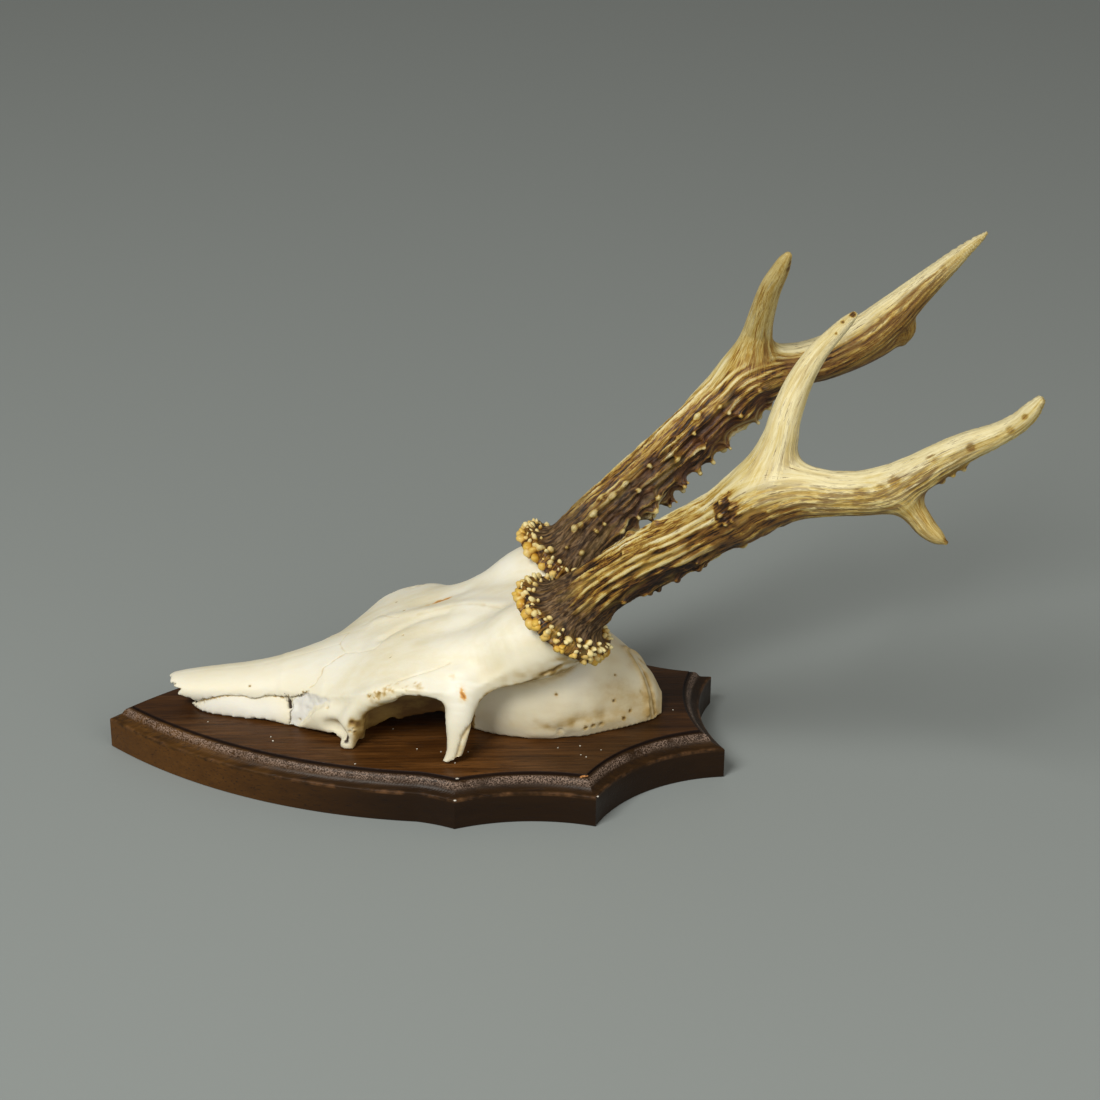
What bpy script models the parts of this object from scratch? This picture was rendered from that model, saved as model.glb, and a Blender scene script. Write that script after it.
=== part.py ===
"""Roe deer skull with a pair of antlers, screwed to a moulded wooden shield.

The shield lies on its back. World frame, in metres once built: the origin is
the middle of the shield's back face, +X runs from the shield's pointed end to
its scalloped end, +Y is across it and +Z is up, out of its front face.
All sizes below are in millimetres.
"""
import math

import bmesh
import bpy
from mathutils import Matrix, Vector

MM = 0.001
GAP = 0.3                     # clear space between neighbouring pieces
RING_SIDES = 22               # points round a limb's or a branch's cross-section
PATH_STEP = 3.0               # distance between those cross-sections

# --- shield -----------------------------------------------------------------
SHIELD_LENGTH = 250.0
SHIELD_WIDTH = 135.0
SHIELD_THICKNESS = 18.9
SIDE_HEIGHT = 13.3            # plain vertical side below the moulding
MOULDING_WIDTH = 7.0
ARC_STEPS = 6
# Plan corners of the shield's near half, and a point on the arc that runs to each from the one before.
TIP = (-SHIELD_LENGTH / 2, 0.0)
BELLY = (-60.0, -45.0)
FLARE = (1.0, -61.6)
EAR = (9.0, -64.2)
SHOULDER = (16.0, -SHIELD_WIDTH / 2)
WAIST = (43.0, -62.4)
HIP = (71.2, -SHIELD_WIDTH / 2 + 0.7)
SCALLOP = (89.0, -44.0)
CORNER = (SHIELD_LENGTH / 2, -30.3)
END_HOLLOW = (117.5, 0.0)
FAR_CORNER = (SHIELD_LENGTH / 2, 30.3)

# --- skull ------------------------------------------------------------------
# The skull and antlers are described in a frame of their own: x from the nose
# (-100) to the back of the head, y across, z as in the world.
NOSE = Vector((-100.0, 6.0, 0.0))      # nose tip on the shield
SKULL_TURN = math.radians(-3.2)        # its midline points a little off the shield's
SKULL_FLOOR = SHIELD_THICKNESS + GAP   # the sawn underside
SKULL_VOXEL = 1.7
SKULL_TRIANGLES = 3150
SAW_ALLOWANCE = 6.0           # how far the blank reaches below the sawn underside
BLANK_FLOOR = SKULL_FLOOR - SAW_ALLOWANCE

# Cross-sections of the skull: (x, half width, lowest, highest, squareness).
NASAL_ROOF = [(-101.5, 3.5, 23.5, 28.0, 2.0), (-99.0, 6.5, 21.5, 30.0, 2.0), (-90.0, 9.5, 19.5, 31.6, 2.0),
              (-79.0, 11.0, 18.0, 33.2, 2.0), (-66.0, 12.5, 18.0, 35.0, 2.0), (-50.0, 15.0, 18.0, 38.8, 2.0),
              (-36.0, 19.0, 18.0, 43.0, 2.0), (-22.0, 22.0, 18.0, 48.0, 2.0)]
CHEEKS = [(-93.0, 5.0, BLANK_FLOOR, 25.0, 2.0), (-84.0, 12.5, BLANK_FLOOR, 27.0, 2.4),
          (-66.0, 16.8, BLANK_FLOOR, 29.0, 2.4), (-50.0, 21.0, BLANK_FLOOR, 33.0, 2.4),
          (-40.0, 27.0, BLANK_FLOOR, 36.5, 2.4), (-27.0, 35.0, BLANK_FLOOR, 41.0, 2.4),
          (-23.0, 35.5, BLANK_FLOOR, 42.0, 2.4)]
BETWEEN_EYES = [(-30.0, 21.0, 19.0, 46.0, 2.4), (-10.0, 20.0, 21.0, 52.0, 2.6), (10.0, 21.0, 22.0, 58.0, 2.6),
                (30.0, 24.0, BLANK_FLOOR, 64.0, 2.4), (50.0, 26.0, BLANK_FLOOR, 66.0, 2.2)]
BRAINCASE = [(20.0, 18.0, 2.0, 46.0, 2.1), (31.0, 25.5, 2.0, 54.0, 2.1), (43.0, 29.8, 2.0, 60.0, 2.1),
             (56.0, 30.8, 2.0, 61.0, 2.1), (70.0, 27.0, 2.0, 56.5, 2.1), (82.0, 20.5, 2.0, 48.5, 2.1),
             (92.0, 15.0, 2.0, 40.0, 2.1), (98.0, 11.0, 2.0, 32.5, 2.1), (101.5, 7.0, 2.0, 25.0, 2.1)]
NASAL_CAVITY = [(-120.0, 6.5, 12.0, 25.6, 2.2), (-90.0, 7.5, 12.0, 28.2, 2.2), (-76.0, 9.5, 12.0, 30.2, 2.2),
                (-60.0, 11.5, 12.0, 32.5, 2.2), (-44.0, 9.5, 12.0, 33.0, 2.2)]
# The forehead's plate over the eyes: (x, half width, crown height, edge height, thickness).
FOREHEAD = [(-32.0, 27.0, 44.0, 36.0, 8.0), (-22.0, 35.0, 48.5, 41.5, 7.0), (-12.0, 41.0, 53.5, 47.0, 6.5),
            (2.0, 45.0, 58.5, 50.0, 6.5), (12.0, 45.0, 62.0, 49.0, 7.0), (22.0, 42.0, 66.0, 46.0, 9.0),
            (34.0, 40.0, 70.0, 52.5, 12.0), (46.0, 39.5, 73.0, 59.0, 14.0), (56.0, 37.5, 71.5, 63.0, 14.0)]
FOREHEAD_ARCH = 2.4           # power of its fall from crown to edge: 2 is a parabola
FOREHEAD_UNDERCUT = 0.93      # width of its underside over that of its top
# Limbs on each side: (x, distance from the midline, z, radius), and how flat each is.
BEHIND_EYE = [(16.0, 40.0, 49.0, 9.0), (16.5, 43.5, 41.0, 7.0), (18.5, 46.0, 32.0, 4.9),
              (18.3, 47.6, 24.0, 3.9), (15.5, 48.4, 14.0, 3.4)]
BEHIND_EYE_FLAT = 0.62
BEFORE_EYE = [(-8.0, 41.0, 47.0, 4.0), (-17.0, 38.0, 41.0, 4.4), (-22.5, 35.5, 33.0, 4.6),
              (-25.0, 34.0, 25.0, 4.0), (-25.4, 34.3, 14.0, 3.0)]
BEFORE_EYE_FLAT = 0.8
PEDICLE = [(6.0, 24.0, 46.0, 7.0), (22.0, 24.5, 52.0, 10.0), (36.0, 25.0, 57.5, 13.0),
           (46.0, 25.2, 62.0, 16.0), (56.7, 25.1, 66.4, 16.5), (61.5, 25.6, 72.8, 17.5)]

# --- antlers ----------------------------------------------------------------
BURR_CENTRE = Vector((61.5, 25.6, 72.8))
BURR_NORMAL = Vector((0.60, 0.06, 0.80)).normalized()
BURR_RADIUS = 22.5
BURR_OVAL = 0.94              # narrower towards the other antler
BURR_THICKNESS = 7.0
BURR_SIDES = 28
# The disc inside the pearls: (height over thickness, radius over burr radius).
BURR_PROFILE = [(-0.5, 0.90), (-0.2, 0.97), (0.2, 0.97), (0.5, 0.86)]
BURR_PEARLS = 21              # in each row
PEARL_RADIUS = 2.9
PEARL_ROWS = [(-1.4, 0.4), (2.6, -1.2)]        # (height, reach beyond the burr radius)
RIDGES = 9                    # lengthwise ridges round a beam
RIDGE_HEIGHT = 0.09           # of the beam's radius
ANTLER_VOXEL = 1.3
FORK_STATION = 2              # the station where a tine is parted from its beam
TINE_REACH = 14.0             # half width of the block that parts a tine
BURR_REACH = 30.0             # half width of the block that parts a burr
BLOCK_LENGTH = 80.0
BEAM_TRIANGLES = 2300
TINE_TRIANGLES = 190

# Stations along each branch: (x, distance from the midline, z, radius).
LEFT_BEAM = [(59.4, 25.0, 70.0, 16.5), (64.5, 26.0, 76.0, 14.0), (70.5, 28.0, 82.5, 12.2),
             (79.0, 31.5, 91.5, 11.2), (90.5, 37.5, 102.5, 10.9), (107.0, 45.0, 116.5, 11.2),
             (120.0, 51.0, 127.5, 11.4), (133.0, 57.0, 139.0, 12.2), (146.5, 62.0, 145.0, 10.2),
             (160.5, 67.0, 147.0, 8.3), (174.3, 71.0, 150.0, 8.0), (186.0, 75.0, 157.5, 7.4),
             (196.4, 78.0, 166.3, 6.1), (206.0, 81.0, 173.3, 5.1), (214.5, 83.0, 178.3, 4.2),
             (221.5, 85.0, 184.0, 3.2), (226.0, 86.2, 190.0, 2.2), (228.3, 87.0, 194.0, 0.9)]
LEFT_FRONT_TINE = [(128.0, 54.5, 134.0, 8.0), (135.0, 56.5, 147.0, 9.4), (140.0, 55.3, 162.5, 6.9),
                   (141.7, 53.0, 170.0, 5.9), (144.7, 49.0, 178.2, 5.3), (148.8, 44.0, 185.2, 4.6),
                   (153.9, 39.3, 191.5, 3.8), (159.8, 35.3, 197.0, 2.9), (164.6, 33.0, 201.5, 2.0),
                   (167.4, 32.0, 204.0, 0.8)]
LEFT_REAR_TINE = [(177.0, 72.5, 154.5, 6.2), (184.0, 74.0, 150.5, 6.6), (189.0, 76.0, 143.5, 4.5),
                  (193.0, 78.0, 139.0, 3.8), (197.0, 80.0, 136.2, 2.7), (199.8, 81.0, 134.8, 1.0)]
RIGHT_BEAM = [(59.4, 25.0, 70.0, 16.5), (64.0, 26.5, 76.0, 14.0), (69.0, 28.5, 82.0, 12.2),
              (78.0, 33.0, 90.5, 11.2), (90.4, 39.0, 100.5, 11.2), (103.7, 45.0, 111.7, 11.3),
              (115.2, 50.0, 122.0, 11.3), (125.5, 54.0, 131.5, 11.7), (136.0, 57.0, 140.5, 12.0),
              (147.0, 59.5, 144.5, 10.2), (157.7, 61.5, 146.5, 8.8), (170.2, 66.0, 149.6, 8.5),
              (184.0, 71.0, 156.2, 8.6), (195.0, 75.0, 164.3, 7.6), (203.4, 78.0, 171.6, 6.0),
              (212.6, 81.0, 179.4, 4.6), (221.0, 83.5, 186.6, 3.2), (227.8, 85.5, 192.0, 1.9),
              (231.3, 86.5, 194.8, 0.8)]
RIGHT_FRONT_TINE = [(130.0, 56.0, 133.0, 8.0), (134.5, 56.5, 146.0, 9.0), (137.2, 54.2, 161.0, 6.4),
                    (137.9, 51.0, 168.0, 5.5), (139.2, 46.0, 177.3, 4.9), (141.1, 41.0, 186.8, 4.4),
                    (143.8, 36.0, 195.4, 3.6), (145.5, 33.0, 200.9, 2.4), (146.7, 31.3, 204.2, 0.9)]
RIGHT_SPUR = [(193.0, 75.0, 164.0, 5.0), (200.5, 76.5, 160.0, 4.6), (200.5, 77.0, 155.0, 3.4),
              (198.8, 78.0, 150.5, 1.0)]
# Knobs on the beams: (how far along the beam, angle round it in degrees, radius).
# 0 degrees faces the other antler and 90 degrees faces backwards and down.
LEFT_KNOBS = [(0.15, 70, 2.0), (0.20, 25, 2.2), (0.24, 80, 2.4), (0.28, 40, 2.2), (0.31, 88, 2.2),
              (0.33, 15, 2.0), (0.37, 62, 2.3), (0.40, 95, 1.9), (0.43, 30, 2.1), (0.47, 75, 2.0),
              (0.50, -150, 3.2), (0.79, 110, 2.0)]
RIGHT_KNOBS = [(0.13, 60, 2.3), (0.16, 15, 2.2), (0.19, 95, 2.4), (0.22, 45, 2.4), (0.25, 80, 2.6),
               (0.28, 20, 2.2), (0.30, 100, 2.5), (0.33, 60, 2.5), (0.36, 85, 2.6), (0.39, 30, 2.3),
               (0.42, 100, 2.4), (0.45, 65, 2.5), (0.49, 85, 2.2), (0.53, 50, 2.0), (0.57, 95, 1.9)]

# --- screws that hold the skull, driven from the back -------------------------
SCREW_SHANK = 2.0             # radius
SCREW_HEAD = 4.0              # radius
SCREW_LENGTH = 34.0
SCREW_RECESS = 0.4            # head below the shield's back face
SCREW_PLACES = {"skull_screw_front": (-36.0, 3.0), "skull_screw_rear": (62.0, -2.0)}


# --- small helpers ------------------------------------------------------------
def clear_scene():
    for old in list(bpy.data.objects):
        bpy.data.objects.remove(old)


def make_material(name, colour, roughness, metallic=0.0):
    material = bpy.data.materials.new(name)
    material.use_nodes = True
    shader = material.node_tree.nodes["Principled BSDF"]
    shader.inputs["Base Color"].default_value = (*colour, 1.0)
    shader.inputs["Roughness"].default_value = roughness
    shader.inputs["Metallic"].default_value = metallic
    return material


def add_object(name, shape):
    """Turn a bmesh in millimetres into an object in metres."""
    bmesh.ops.recalc_face_normals(shape, faces=shape.faces)
    bmesh.ops.scale(shape, vec=(MM, MM, MM), verts=shape.verts)
    mesh = bpy.data.meshes.new(name)
    shape.to_mesh(mesh)
    shape.free()
    made = bpy.data.objects.new(name, mesh)
    bpy.context.collection.objects.link(made)
    return made


def bake(target):
    """Replace an object's mesh by what its modifiers make of it."""
    bpy.context.view_layer.update()
    depsgraph = bpy.context.evaluated_depsgraph_get()
    baked = bpy.data.meshes.new_from_object(target.evaluated_get(depsgraph))
    target.modifiers.clear()
    target.data = baked


def combine(target, cutter, operation):
    """Join, cut or keep the overlap of two solids, and drop the second one."""
    step = target.modifiers.new("combine", "BOOLEAN")
    step.object = cutter
    step.operation = operation
    step.solver = "EXACT"
    bake(target)
    bpy.data.objects.remove(cutter)


def fuse(target, voxel, smoothing):
    """Melt overlapping closed shapes into one skin."""
    remesh = target.modifiers.new("fuse", "REMESH")
    remesh.mode = "VOXEL"
    remesh.voxel_size = voxel * MM
    smooth = target.modifiers.new("soften", "SMOOTH")
    smooth.factor = 0.5
    smooth.iterations = smoothing
    bake(target)


def thin_out(target, triangles):
    """Collapse edges until about so many triangles are left."""
    count = sum(len(face.vertices) - 2 for face in target.data.polygons)
    if count > triangles:
        collapse = target.modifiers.new("thin out", "DECIMATE")
        collapse.ratio = triangles / count
        collapse.use_collapse_triangulate = True
        bake(target)


def loft(shape, rings):
    """Skin closed rings of equal length in order, with both ends filled."""
    rows = [[shape.verts.new(point) for point in ring] for ring in rings]
    for row, following in zip(rows, rows[1:]):
        for i in range(len(row)):
            j = (i + 1) % len(row)
            shape.faces.new((row[i], row[j], following[j], following[i]))
    shape.faces.new(list(reversed(rows[0])))
    shape.faces.new(rows[-1])


def arc_through(start, middle, end, steps=ARC_STEPS):
    """Points of the circle arc through three plan points, without the last one."""
    (ax, ay), (bx, by), (cx, cy) = start, middle, end
    d = 2 * (ax * (by - cy) + bx * (cy - ay) + cx * (ay - by))
    a2, b2, c2 = ax * ax + ay * ay, bx * bx + by * by, cx * cx + cy * cy
    ux = (a2 * (by - cy) + b2 * (cy - ay) + c2 * (ay - by)) / d
    uy = (a2 * (cx - bx) + b2 * (ax - cx) + c2 * (bx - ax)) / d
    radius = math.hypot(ax - ux, ay - uy)
    first = math.atan2(ay - uy, ax - ux)
    sweep = math.atan2(cy - uy, cx - ux) - first
    sweep = sweep % math.tau if d > 0 else -((-sweep) % math.tau)
    angles = [first + sweep * i / steps for i in range(steps)]
    return [(ux + radius * math.cos(a), uy + radius * math.sin(a)) for a in angles]


def inset_outline(outline, distance):
    """Move a counter-clockwise outline inwards, keeping its corners sharp."""
    moved = []
    count = len(outline)
    for i, (x, y) in enumerate(outline):
        before = Vector(outline[i]) - Vector(outline[i - 1])
        after = Vector(outline[(i + 1) % count]) - Vector(outline[i])
        n1 = Vector((-before.y, before.x)).normalized()
        n2 = Vector((-after.y, after.x)).normalized()
        mitre = (n1 + n2) / (1.0 + n1.dot(n2))
        moved.append((x + mitre.x * distance, y + mitre.y * distance))
    return moved


def smooth_path(stations, step):
    """Catmull-Rom curve through (x, y, z, radius) stations, about step apart."""
    points = [Vector(s) for s in stations]
    points = [2 * points[0] - points[1]] + points + [2 * points[-1] - points[-2]]
    path = []
    for a, b, c, d in zip(points, points[1:], points[2:], points[3:]):
        count = max(1, round((c.xyz - b.xyz).length / step))
        for i in range(count):
            t = i / count
            path.append(0.5 * ((2 * b) + (c - a) * t + (2 * a - 5 * b + 4 * c - d) * t * t
                               + (3 * b - a - 3 * c + d) * t ** 3))
    path.append(points[-2])
    return path


def world_from_skull(side=1.0):
    """Matrix from the skull's frame; side -1 is its left, +1 its right."""
    turn = Matrix.Translation(NOSE) @ Matrix.Rotation(SKULL_TURN, 4, "Z")
    return turn @ Matrix.Translation((100.0, 0.0, 0.0)) @ Matrix.Diagonal((1.0, side, 1.0, 1.0))


# --- shield -------------------------------------------------------------------
def shield_outline():
    """Counter-clockwise plan: pointed end at -X, scalloped sides and end."""
    near = arc_through(TIP, BELLY, FLARE, 2 * ARC_STEPS)
    near += arc_through(FLARE, EAR, SHOULDER, ARC_STEPS // 2)
    near += arc_through(SHOULDER, WAIST, HIP)
    near += arc_through(HIP, SCALLOP, CORNER)
    end = arc_through(CORNER, END_HOLLOW, FAR_CORNER)
    far = [(x, -y) for x, y in reversed(near[1:])]
    return near + end + [FAR_CORNER] + far


def build_shield():
    step = SHIELD_THICKNESS - 0.9          # foot of the small step round the flat face
    profile = [(0.0, 0.0), (0.0, SIDE_HEIGHT - 0.6), (0.7, SIDE_HEIGHT + 0.1), (2.9, SIDE_HEIGHT + 1.0),
               (4.4, SIDE_HEIGHT + 2.4), (MOULDING_WIDTH - 0.9, step), (MOULDING_WIDTH, SHIELD_THICKNESS)]
    outline = shield_outline()
    shape = bmesh.new()
    rings = []
    for inset, height in profile:
        rings.append([(x, y, height) for x, y in inset_outline(outline, inset)])
    loft(shape, rings)
    bmesh.ops.triangulate(shape, faces=[face for face in shape.faces if len(face.verts) > 4])
    return add_object("shield_plaque", shape)


# --- skull ----------------------------------------------------------------------
def oval_ring(x, half_width, low, high, squareness):
    """Closed cross-section at x; squareness 2 is an ellipse, more is boxier."""
    ring = []
    for i in range(RING_SIDES):
        a = math.tau * i / RING_SIDES
        c, s = math.cos(a), math.sin(a)
        y = half_width * math.copysign(abs(c) ** (2 / squareness), c)
        up = math.copysign(abs(s) ** (2 / squareness), s)
        z = (low + high) / 2 + (high - low) / 2 * up
        ring.append((x, y, z))
    return ring


def plate_ring(x, half_width, crown, edge, thickness):
    """Roof-like cross-section: crown height in the middle, edge height at the sides."""
    top = []
    for i in range(-5, 6):
        t = i / 5
        top.append((x, half_width * t, edge + (crown - edge) * (1 - abs(t) ** FOREHEAD_ARCH)))
    under = [(px, py * FOREHEAD_UNDERCUT, pz - thickness) for px, py, pz in reversed(top)]
    return top + under


def add_limb(shape, stations, flat):
    """Round limb along (x, y, z, radius) stations; flat squeezes it across y."""
    path = smooth_path(stations, PATH_STEP)
    rings = []
    for i, point in enumerate(path):
        ahead = path[min(i + 1, len(path) - 1)].xyz - path[max(i - 1, 0)].xyz
        across = Vector((0.0, 1.0, 0.0))
        along = ahead.normalized()
        side = along.cross(across).normalized()
        across = side.cross(along)
        ring = []
        for k in range(RING_SIDES):
            a = math.tau * k / RING_SIDES
            offset = side * math.cos(a) + across * (math.sin(a) * flat)
            ring.append(point.xyz + offset * point.w)
        rings.append(ring)
    loft(shape, rings)


def burr_block(side, depth, way):
    """A block from depth above the burr's underside; way 1 covers the burr, -1 the pedicle."""
    normal = Vector((BURR_NORMAL.x, side * BURR_NORMAL.y, BURR_NORMAL.z))
    seat = Vector((BURR_CENTRE.x, side * BURR_CENTRE.y, BURR_CENTRE.z))
    seat -= normal * (BURR_THICKNESS / 2 - depth)
    return block(seat, normal * way, BURR_REACH, BLOCK_LENGTH)


def block(seat, normal, half_width, length):
    """Square block standing on seat along normal, in the skull's frame."""
    shape = bmesh.new()
    place = Matrix.Translation(seat) @ normal.to_track_quat("Z", "Y").to_matrix().to_4x4()
    size = Matrix.Diagonal((half_width * 2, half_width * 2, length, 1.0))
    bmesh.ops.create_cube(shape, size=1.0, matrix=place @ Matrix.Translation((0, 0, length / 2)) @ size)
    bmesh.ops.transform(shape, matrix=world_from_skull(), verts=shape.verts)
    return add_object("cutter", shape)


def build_skull():
    shape = bmesh.new()
    for rings in (NASAL_ROOF, CHEEKS, BETWEEN_EYES, BRAINCASE):
        loft(shape, [oval_ring(*ring) for ring in rings])
    loft(shape, [plate_ring(*ring) for ring in FOREHEAD])
    for side in (-1.0, 1.0):
        for stations, flat in ((BEHIND_EYE, BEHIND_EYE_FLAT), (BEFORE_EYE, BEFORE_EYE_FLAT), (PEDICLE, 1.0)):
            add_limb(shape, [(x, side * y, z, radius) for x, y, z, radius in stations], flat)
    bmesh.ops.transform(shape, matrix=world_from_skull(), verts=shape.verts)
    skull = add_object("skull", shape)
    fuse(skull, SKULL_VOXEL, 6)
    thin_out(skull, SKULL_TRIANGLES)
    sawn_face = Vector((0.0, 0.0, SKULL_FLOOR))
    waste = block(sawn_face, Vector((0.0, 0.0, -1.0)), SHIELD_LENGTH / 2, SHIELD_THICKNESS)
    combine(skull, waste, "DIFFERENCE")
    cavity = bmesh.new()
    loft(cavity, [oval_ring(*ring) for ring in NASAL_CAVITY])
    bmesh.ops.transform(cavity, matrix=world_from_skull(), verts=cavity.verts)
    combine(skull, add_object("cutter", cavity), "DIFFERENCE")
    for side in (-1.0, 1.0):
        combine(skull, burr_block(side, -GAP, 1.0), "DIFFERENCE")
    return skull


# --- antlers --------------------------------------------------------------------
def branch_frames(path):
    """Along, inward and rearward directions at each point of a path."""
    frames = []
    for i in range(len(path)):
        ahead = path[min(i + 1, len(path) - 1)].xyz - path[max(i - 1, 0)].xyz
        along = ahead.normalized()
        inward = Vector((0.0, -1.0, 0.0))
        inward = (inward - along * inward.dot(along)).normalized()
        frames.append((along, inward, along.cross(inward)))
    return frames


def add_branch(shape, stations, ridge):
    """A tapering branch with lengthwise ridges that fade towards its tip."""
    path = smooth_path(stations, PATH_STEP)
    rings = []
    for i, (point, (along, inward, rearward)) in enumerate(zip(path, branch_frames(path))):
        fade = 1.0 - i / len(path)
        ring = []
        for k in range(RING_SIDES):
            a = math.tau * k / RING_SIDES
            swell = 1.0 + ridge * fade * math.cos(RIDGES * a + 0.9 * math.sin(i * 0.17))
            ring.append(point.xyz + (inward * math.cos(a) + rearward * math.sin(a)) * (point.w * swell))
        rings.append(ring)
    loft(shape, rings)
    return path


def add_ball(shape, centre, radius):
    place = Matrix.Translation(centre) @ Matrix.Diagonal((radius, radius, radius, 1.0))
    bmesh.ops.create_icosphere(shape, subdivisions=1, radius=1.0, matrix=place)


def add_burr(shape):
    """Disc with two rows of pearls round its rim."""
    side = BURR_NORMAL.cross(Vector((0.0, 1.0, 0.0))).normalized()
    across = side.cross(BURR_NORMAL)
    rings = []
    for height, radius in BURR_PROFILE:
        middle = BURR_CENTRE + BURR_NORMAL * (height * BURR_THICKNESS)
        ring = []
        for k in range(BURR_SIDES):
            a = math.tau * k / BURR_SIDES
            out = side * math.cos(a) + across * (BURR_OVAL * math.sin(a))
            ring.append(middle + out * (BURR_RADIUS * radius))
        rings.append(ring)
    loft(shape, rings)
    for row, (height, beyond) in enumerate(PEARL_ROWS):
        for k in range(BURR_PEARLS):
            a = math.tau * (k + 0.5 * row) / BURR_PEARLS
            reach = BURR_RADIUS + beyond + 0.8 * math.sin(5.3 * k + row)
            out = side * math.cos(a) + across * (BURR_OVAL * math.sin(a))
            add_ball(shape, BURR_CENTRE + BURR_NORMAL * height + out * reach,
                     PEARL_RADIUS + 0.4 * math.sin(3.7 * k))


def add_knobs(shape, path, knobs):
    frames = branch_frames(path)
    for share, angle, radius in knobs:
        i = round(share * (len(path) - 1))
        inward, rearward = frames[i][1:]
        a = math.radians(angle)
        out = inward * math.cos(a) + rearward * math.sin(a)
        add_ball(shape, path[i].xyz + out * (path[i].w + 0.2 * radius), radius)


def fork_block(tine, side, depth):
    """A block over a tine, from the fork where it is parted from its beam."""
    fork, tip = (Vector((x, side * y, z)) for x, y, z, _ in (tine[FORK_STATION], tine[-1]))
    along = (tip - fork).normalized()
    return block(fork + along * depth, along, TINE_REACH, BLOCK_LENGTH)


def build_antler(side_name, side, beam, tines, spurs, knobs):
    """One antler, melted into a single skin and then parted at its forks."""
    shape = bmesh.new()
    path = add_branch(shape, beam, RIDGE_HEIGHT)
    add_knobs(shape, path, knobs)
    for stations in list(tines.values()) + spurs:
        add_branch(shape, stations, RIDGE_HEIGHT / 2)
    add_burr(shape)
    bmesh.ops.transform(shape, matrix=world_from_skull(side), verts=shape.verts)
    whole = add_object(side_name + "_antler_beam", shape)
    fuse(whole, ANTLER_VOXEL, 2)
    combine(whole, burr_block(side, 0.0, -1.0), "DIFFERENCE")
    pieces = []
    for name, stations in tines.items():
        tine = bpy.data.objects.new(f"{side_name}_{name}", whole.data.copy())
        bpy.context.collection.objects.link(tine)
        combine(tine, fork_block(stations, side, 0.0), "INTERSECT")
        combine(whole, fork_block(stations, side, -GAP), "DIFFERENCE")
        thin_out(tine, TINE_TRIANGLES)
        pieces.append(tine)
    thin_out(whole, BEAM_TRIANGLES)
    return [whole] + pieces


# --- screws -----------------------------------------------------------------------
def lathe(outline, sides=16):
    """Spin (radius, height) points round Z into a closed solid."""
    shape = bmesh.new()
    rings = []
    turns = [math.tau * k / sides for k in range(sides)]
    for radius, height in outline:
        rings.append([(radius * math.cos(a), radius * math.sin(a), height) for a in turns])
    loft(shape, rings)
    return shape


def screw_outline(clearance):
    """Countersunk head at the back face, shank and point."""
    low = -5.0 if clearance else SCREW_RECESS
    return [(SCREW_HEAD + clearance, low), (SCREW_HEAD + clearance, SCREW_RECESS + 0.3),
            (SCREW_SHANK + clearance, SCREW_RECESS + 2.6), (SCREW_SHANK + clearance, SCREW_LENGTH - 4.0),
            (0.5 + clearance, SCREW_LENGTH + clearance)]


def place_on_shield(shape, place):
    bmesh.ops.translate(shape, vec=(*place, 0.0), verts=shape.verts)
    return shape


def build_screws(shield, skull):
    screws = []
    for name, place in SCREW_PLACES.items():
        for drilled in (shield, skull):
            hole = add_object("cutter", place_on_shield(lathe(screw_outline(GAP)), place))
            combine(drilled, hole, "DIFFERENCE")
        screws.append(add_object(name, place_on_shield(lathe(screw_outline(0.0)), place)))
    return screws


# --- build --------------------------------------------------------------------------
def main():
    clear_scene()
    wood = make_material("stained_wood", (0.060, 0.026, 0.015), 0.45)
    bone = make_material("bone", (0.86, 0.81, 0.68), 0.55)
    antler = make_material("antler", (0.26, 0.17, 0.09), 0.6)
    steel = make_material("steel", (0.62, 0.60, 0.55), 0.35, 1.0)
    shield = build_shield()
    skull = build_skull()
    left_tines = {"front_tine": LEFT_FRONT_TINE, "rear_tine": LEFT_REAR_TINE}
    right_tines = {"front_tine": RIGHT_FRONT_TINE}
    left = build_antler("left", -1.0, LEFT_BEAM, left_tines, [], LEFT_KNOBS)
    right = build_antler("right", 1.0, RIGHT_BEAM, right_tines, [RIGHT_SPUR], RIGHT_KNOBS)
    screws = build_screws(shield, skull)
    finishes = [(wood, [shield]), (bone, [skull]), (antler, left + right), (steel, screws)]
    for material, pieces in finishes:
        for piece in pieces:
            piece.data.materials.clear()
            piece.data.materials.append(material)


main()
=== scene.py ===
# %% [markdown]
# # A roebuck's skull and antlers on a wooden shield
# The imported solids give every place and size. This script dresses them: grown
# bone and antler, a stained and varnished shield, and the screws behind.
# Lengths inside the script are millimetres, and each mesh is written in metres.

# %% Frame
import math

import bmesh
import bpy
import numpy as np
from mathutils import Matrix, Vector


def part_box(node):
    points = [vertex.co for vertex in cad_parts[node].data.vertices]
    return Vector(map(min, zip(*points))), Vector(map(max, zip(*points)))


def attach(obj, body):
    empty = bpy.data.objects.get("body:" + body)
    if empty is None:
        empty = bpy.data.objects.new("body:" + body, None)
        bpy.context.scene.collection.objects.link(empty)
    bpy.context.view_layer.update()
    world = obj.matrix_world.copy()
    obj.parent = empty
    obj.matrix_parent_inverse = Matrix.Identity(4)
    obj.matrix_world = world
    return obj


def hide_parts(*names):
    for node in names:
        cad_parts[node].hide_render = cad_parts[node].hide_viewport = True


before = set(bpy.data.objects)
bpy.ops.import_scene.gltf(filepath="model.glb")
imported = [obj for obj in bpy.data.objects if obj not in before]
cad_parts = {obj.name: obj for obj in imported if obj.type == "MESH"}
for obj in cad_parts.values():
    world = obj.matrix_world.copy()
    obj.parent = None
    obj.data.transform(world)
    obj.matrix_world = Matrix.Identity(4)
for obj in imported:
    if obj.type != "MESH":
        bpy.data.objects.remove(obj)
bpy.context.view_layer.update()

MM = 0.001
print("frame:", len(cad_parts), "solids")

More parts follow.
